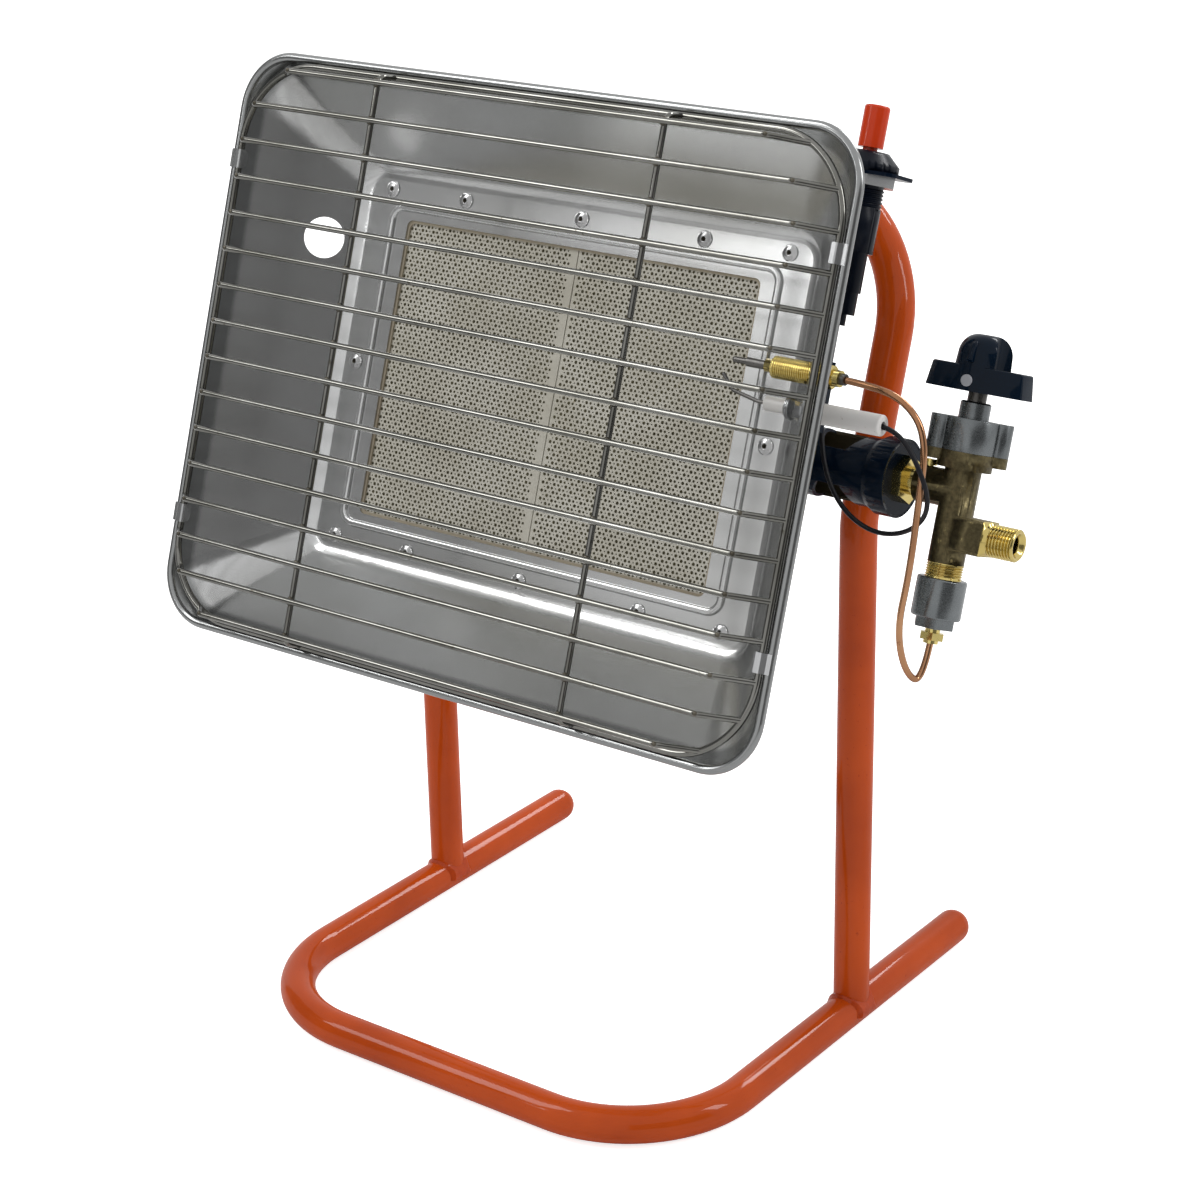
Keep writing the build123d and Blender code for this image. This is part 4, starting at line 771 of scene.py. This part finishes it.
def makeWeldSpots():
    # small resistance-weld nubs at the wire crossings and where the wires crank down
    welds = {"rows": 16, "pitch": 15.6, "top": 117, "postU": 72.5, "postN": 14.1,
             "postNub": (2.6, 3.1, 1.7), "crankNub": (1.7, 1.5, 1.1), "crankRun": 12.6,
             "crankV": 0.2, "crankN": 16.0, "frameHalfW": 151.8, "frameHalfH": 120.8,
             "corner": 35}
    corner = welds["corner"]
    master = startPiece("weldSpot", bpy.ops.mesh.primitive_cube_add, size=1 / 1000)
    editAll(master)
    bpy.ops.mesh.subdivide(number_cuts=3)
    bpy.ops.transform.tosphere(value=1)
    bpy.ops.object.mode_set(mode="OBJECT")
    spots = []
    for i in range(welds["rows"]):
        v = -welds["top"] + welds["pitch"] * i
        past = max(0, abs(v) - welds["frameHalfH"] + corner)
        wireEnd = welds["frameHalfW"] - corner + (corner ** 2 - past ** 2) ** 0.5
        crankU = wireEnd - welds["crankRun"]
        for side in (-1, 1):
            spots.append(((side * welds["postU"], v, welds["postN"]), welds["postNub"]))
            spots.append(((side * crankU, v + welds["crankV"], welds["crankN"]),
                          welds["crankNub"]))
    copies = []
    for spot, size in spots:
        selectOnly(master)
        bpy.ops.object.duplicate()
        nub = bpy.context.active_object
        nub.scale = size
        nub.location = [c / 1000 for c in spot]
        copies.append(nub)
    piece = joinInto(copies[0], copies[1:])
    bpy.data.objects.remove(master)
    piece.name = piece.data.name = "grille_weld_spots"
    applyPlace()
    settle(piece, along("N"), "plated_wire", finish=weldScaleAndHoleShade, crease=60)


makeWeldSpots()
print("small pieces made")


def addFloor():
    # a pale floor that glows for the camera alone, so it meets the backdrop without a line
    facts = {"size": 8.0, "under": -0.0004, "colour": (0.92, 0.92, 0.92, 1), "rough": 0.9,
             "glow": 0.75}
    floor = startPiece("studioFloor", bpy.ops.mesh.primitive_plane_add, size=facts["size"],
                       location=(0, 0, facts["under"]))
    material, tree, shader = newFinish("studioFloor")
    shader.inputs["Base Color"].default_value = facts["colour"]
    shader.inputs["Roughness"].default_value = facts["rough"]
    path = addNode(tree, "ShaderNodeLightPath")
    glow = addNode(tree, "ShaderNodeEmission")
    strength = spread(tree, path.outputs["Is Camera Ray"], 0, 1, 0, facts["glow"])
    tree.links.new(strength, glow.inputs["Strength"])
    both = addNode(tree, "ShaderNodeAddShader")
    tree.links.new(shader.outputs["BSDF"], both.inputs[0])
    tree.links.new(glow.outputs["Emission"], both.inputs[1])
    tree.links.new(both.outputs["Shader"], tree.nodes["Material Output"].inputs["Surface"])
    floor.data.materials.append(material)


def addCards():
    # grey cards before the object and at its valve side: metal mirrors them, no camera sees them
    facts = {"grey": 0.25, "rough": 0.95,
             "cards": (((-2.33, -0.85, 0.9), (3.1, 2.2), 125), ((2.7, -1.4, 0.7), (3.4, 2.2), 66))}
    material, tree, shader = newFinish("studioCard")
    shader.inputs["Base Color"].default_value = (facts["grey"],) * 3 + (1,)
    shader.inputs["Roughness"].default_value = facts["rough"]
    path = addNode(tree, "ShaderNodeLightPath")
    clear = addNode(tree, "ShaderNodeBsdfTransparent")
    mix = addNode(tree, "ShaderNodeMixShader")
    tree.links.new(path.outputs["Is Camera Ray"], mix.inputs["Fac"])
    tree.links.new(shader.outputs["BSDF"], mix.inputs[1])
    tree.links.new(clear.outputs["BSDF"], mix.inputs[2])
    tree.links.new(mix.outputs["Shader"], tree.nodes["Material Output"].inputs["Surface"])
    for i, (place, size, turn) in enumerate(facts["cards"]):
        card = startPiece(f"studioCard{i}", bpy.ops.mesh.primitive_plane_add, size=1,
                          location=place, rotation=(radians(90), 0, radians(turn)))
        card.scale = (*size, 1)
        applyPlace()
        card.data.materials.append(material)


def addSky():
    # white where it is seen, mirrored or looked through, and dimmer as a source of light
    skylight = 0.58
    world = bpy.data.worlds.new("studioWorld")
    world.use_nodes = True
    tree = world.node_tree
    path = addNode(tree, "ShaderNodeLightPath")
    seen = addNode(tree, "ShaderNodeMath", operation="MAXIMUM")
    shown = addNode(tree, "ShaderNodeMath", operation="MAXIMUM")
    tree.links.new(path.outputs["Is Camera Ray"], seen.inputs[0])
    tree.links.new(path.outputs["Is Glossy Ray"], seen.inputs[1])
    tree.links.new(seen.outputs["Value"], shown.inputs[0])
    tree.links.new(path.outputs["Is Transmission Ray"], shown.inputs[1])
    strength = spread(tree, shown.outputs["Value"], 0, 1, skylight, 1)
    backdrop = tree.nodes["Background"]
    backdrop.inputs["Color"].default_value = (1, 1, 1, 1)
    tree.links.new(strength, backdrop.inputs["Strength"])
    scene.world = world


def addLamps():
    # place, size and watts of each soft box, all turned to the middle of the object
    middle = Vector((0, 0, 0.25))
    lamps = {"key": ((-1.35, -1.25, 2.1), (0.7, 1.6), 26),
             "fill": ((2.0, 0.5, 1.5), (0.4, 1.1), 14),
             "rim": ((0.3, 1.5, 1.5), (0.9, 0.3), 12),
             "sheen": ((-1.06, -1.74, 1.17), (0.22, 0.24), 1.2)}
    for name, (place, size, power) in lamps.items():
        data = bpy.data.lights.new(name + "Light", "AREA")
        data.energy = power
        data.shape = "RECTANGLE"
        data.size, data.size_y = size
        lamp = bpy.data.objects.new(name + "Light", data)
        scene.collection.objects.link(lamp)
        lamp.location = place
        lamp.rotation_euler = (middle - Vector(place)).to_track_quat("-Z", "Y").to_euler()


addFloor()
addCards()
addSky()
addLamps()
scene.view_settings.view_transform = "Standard"
print("studio lit")

bpy.context.view_layer.update()
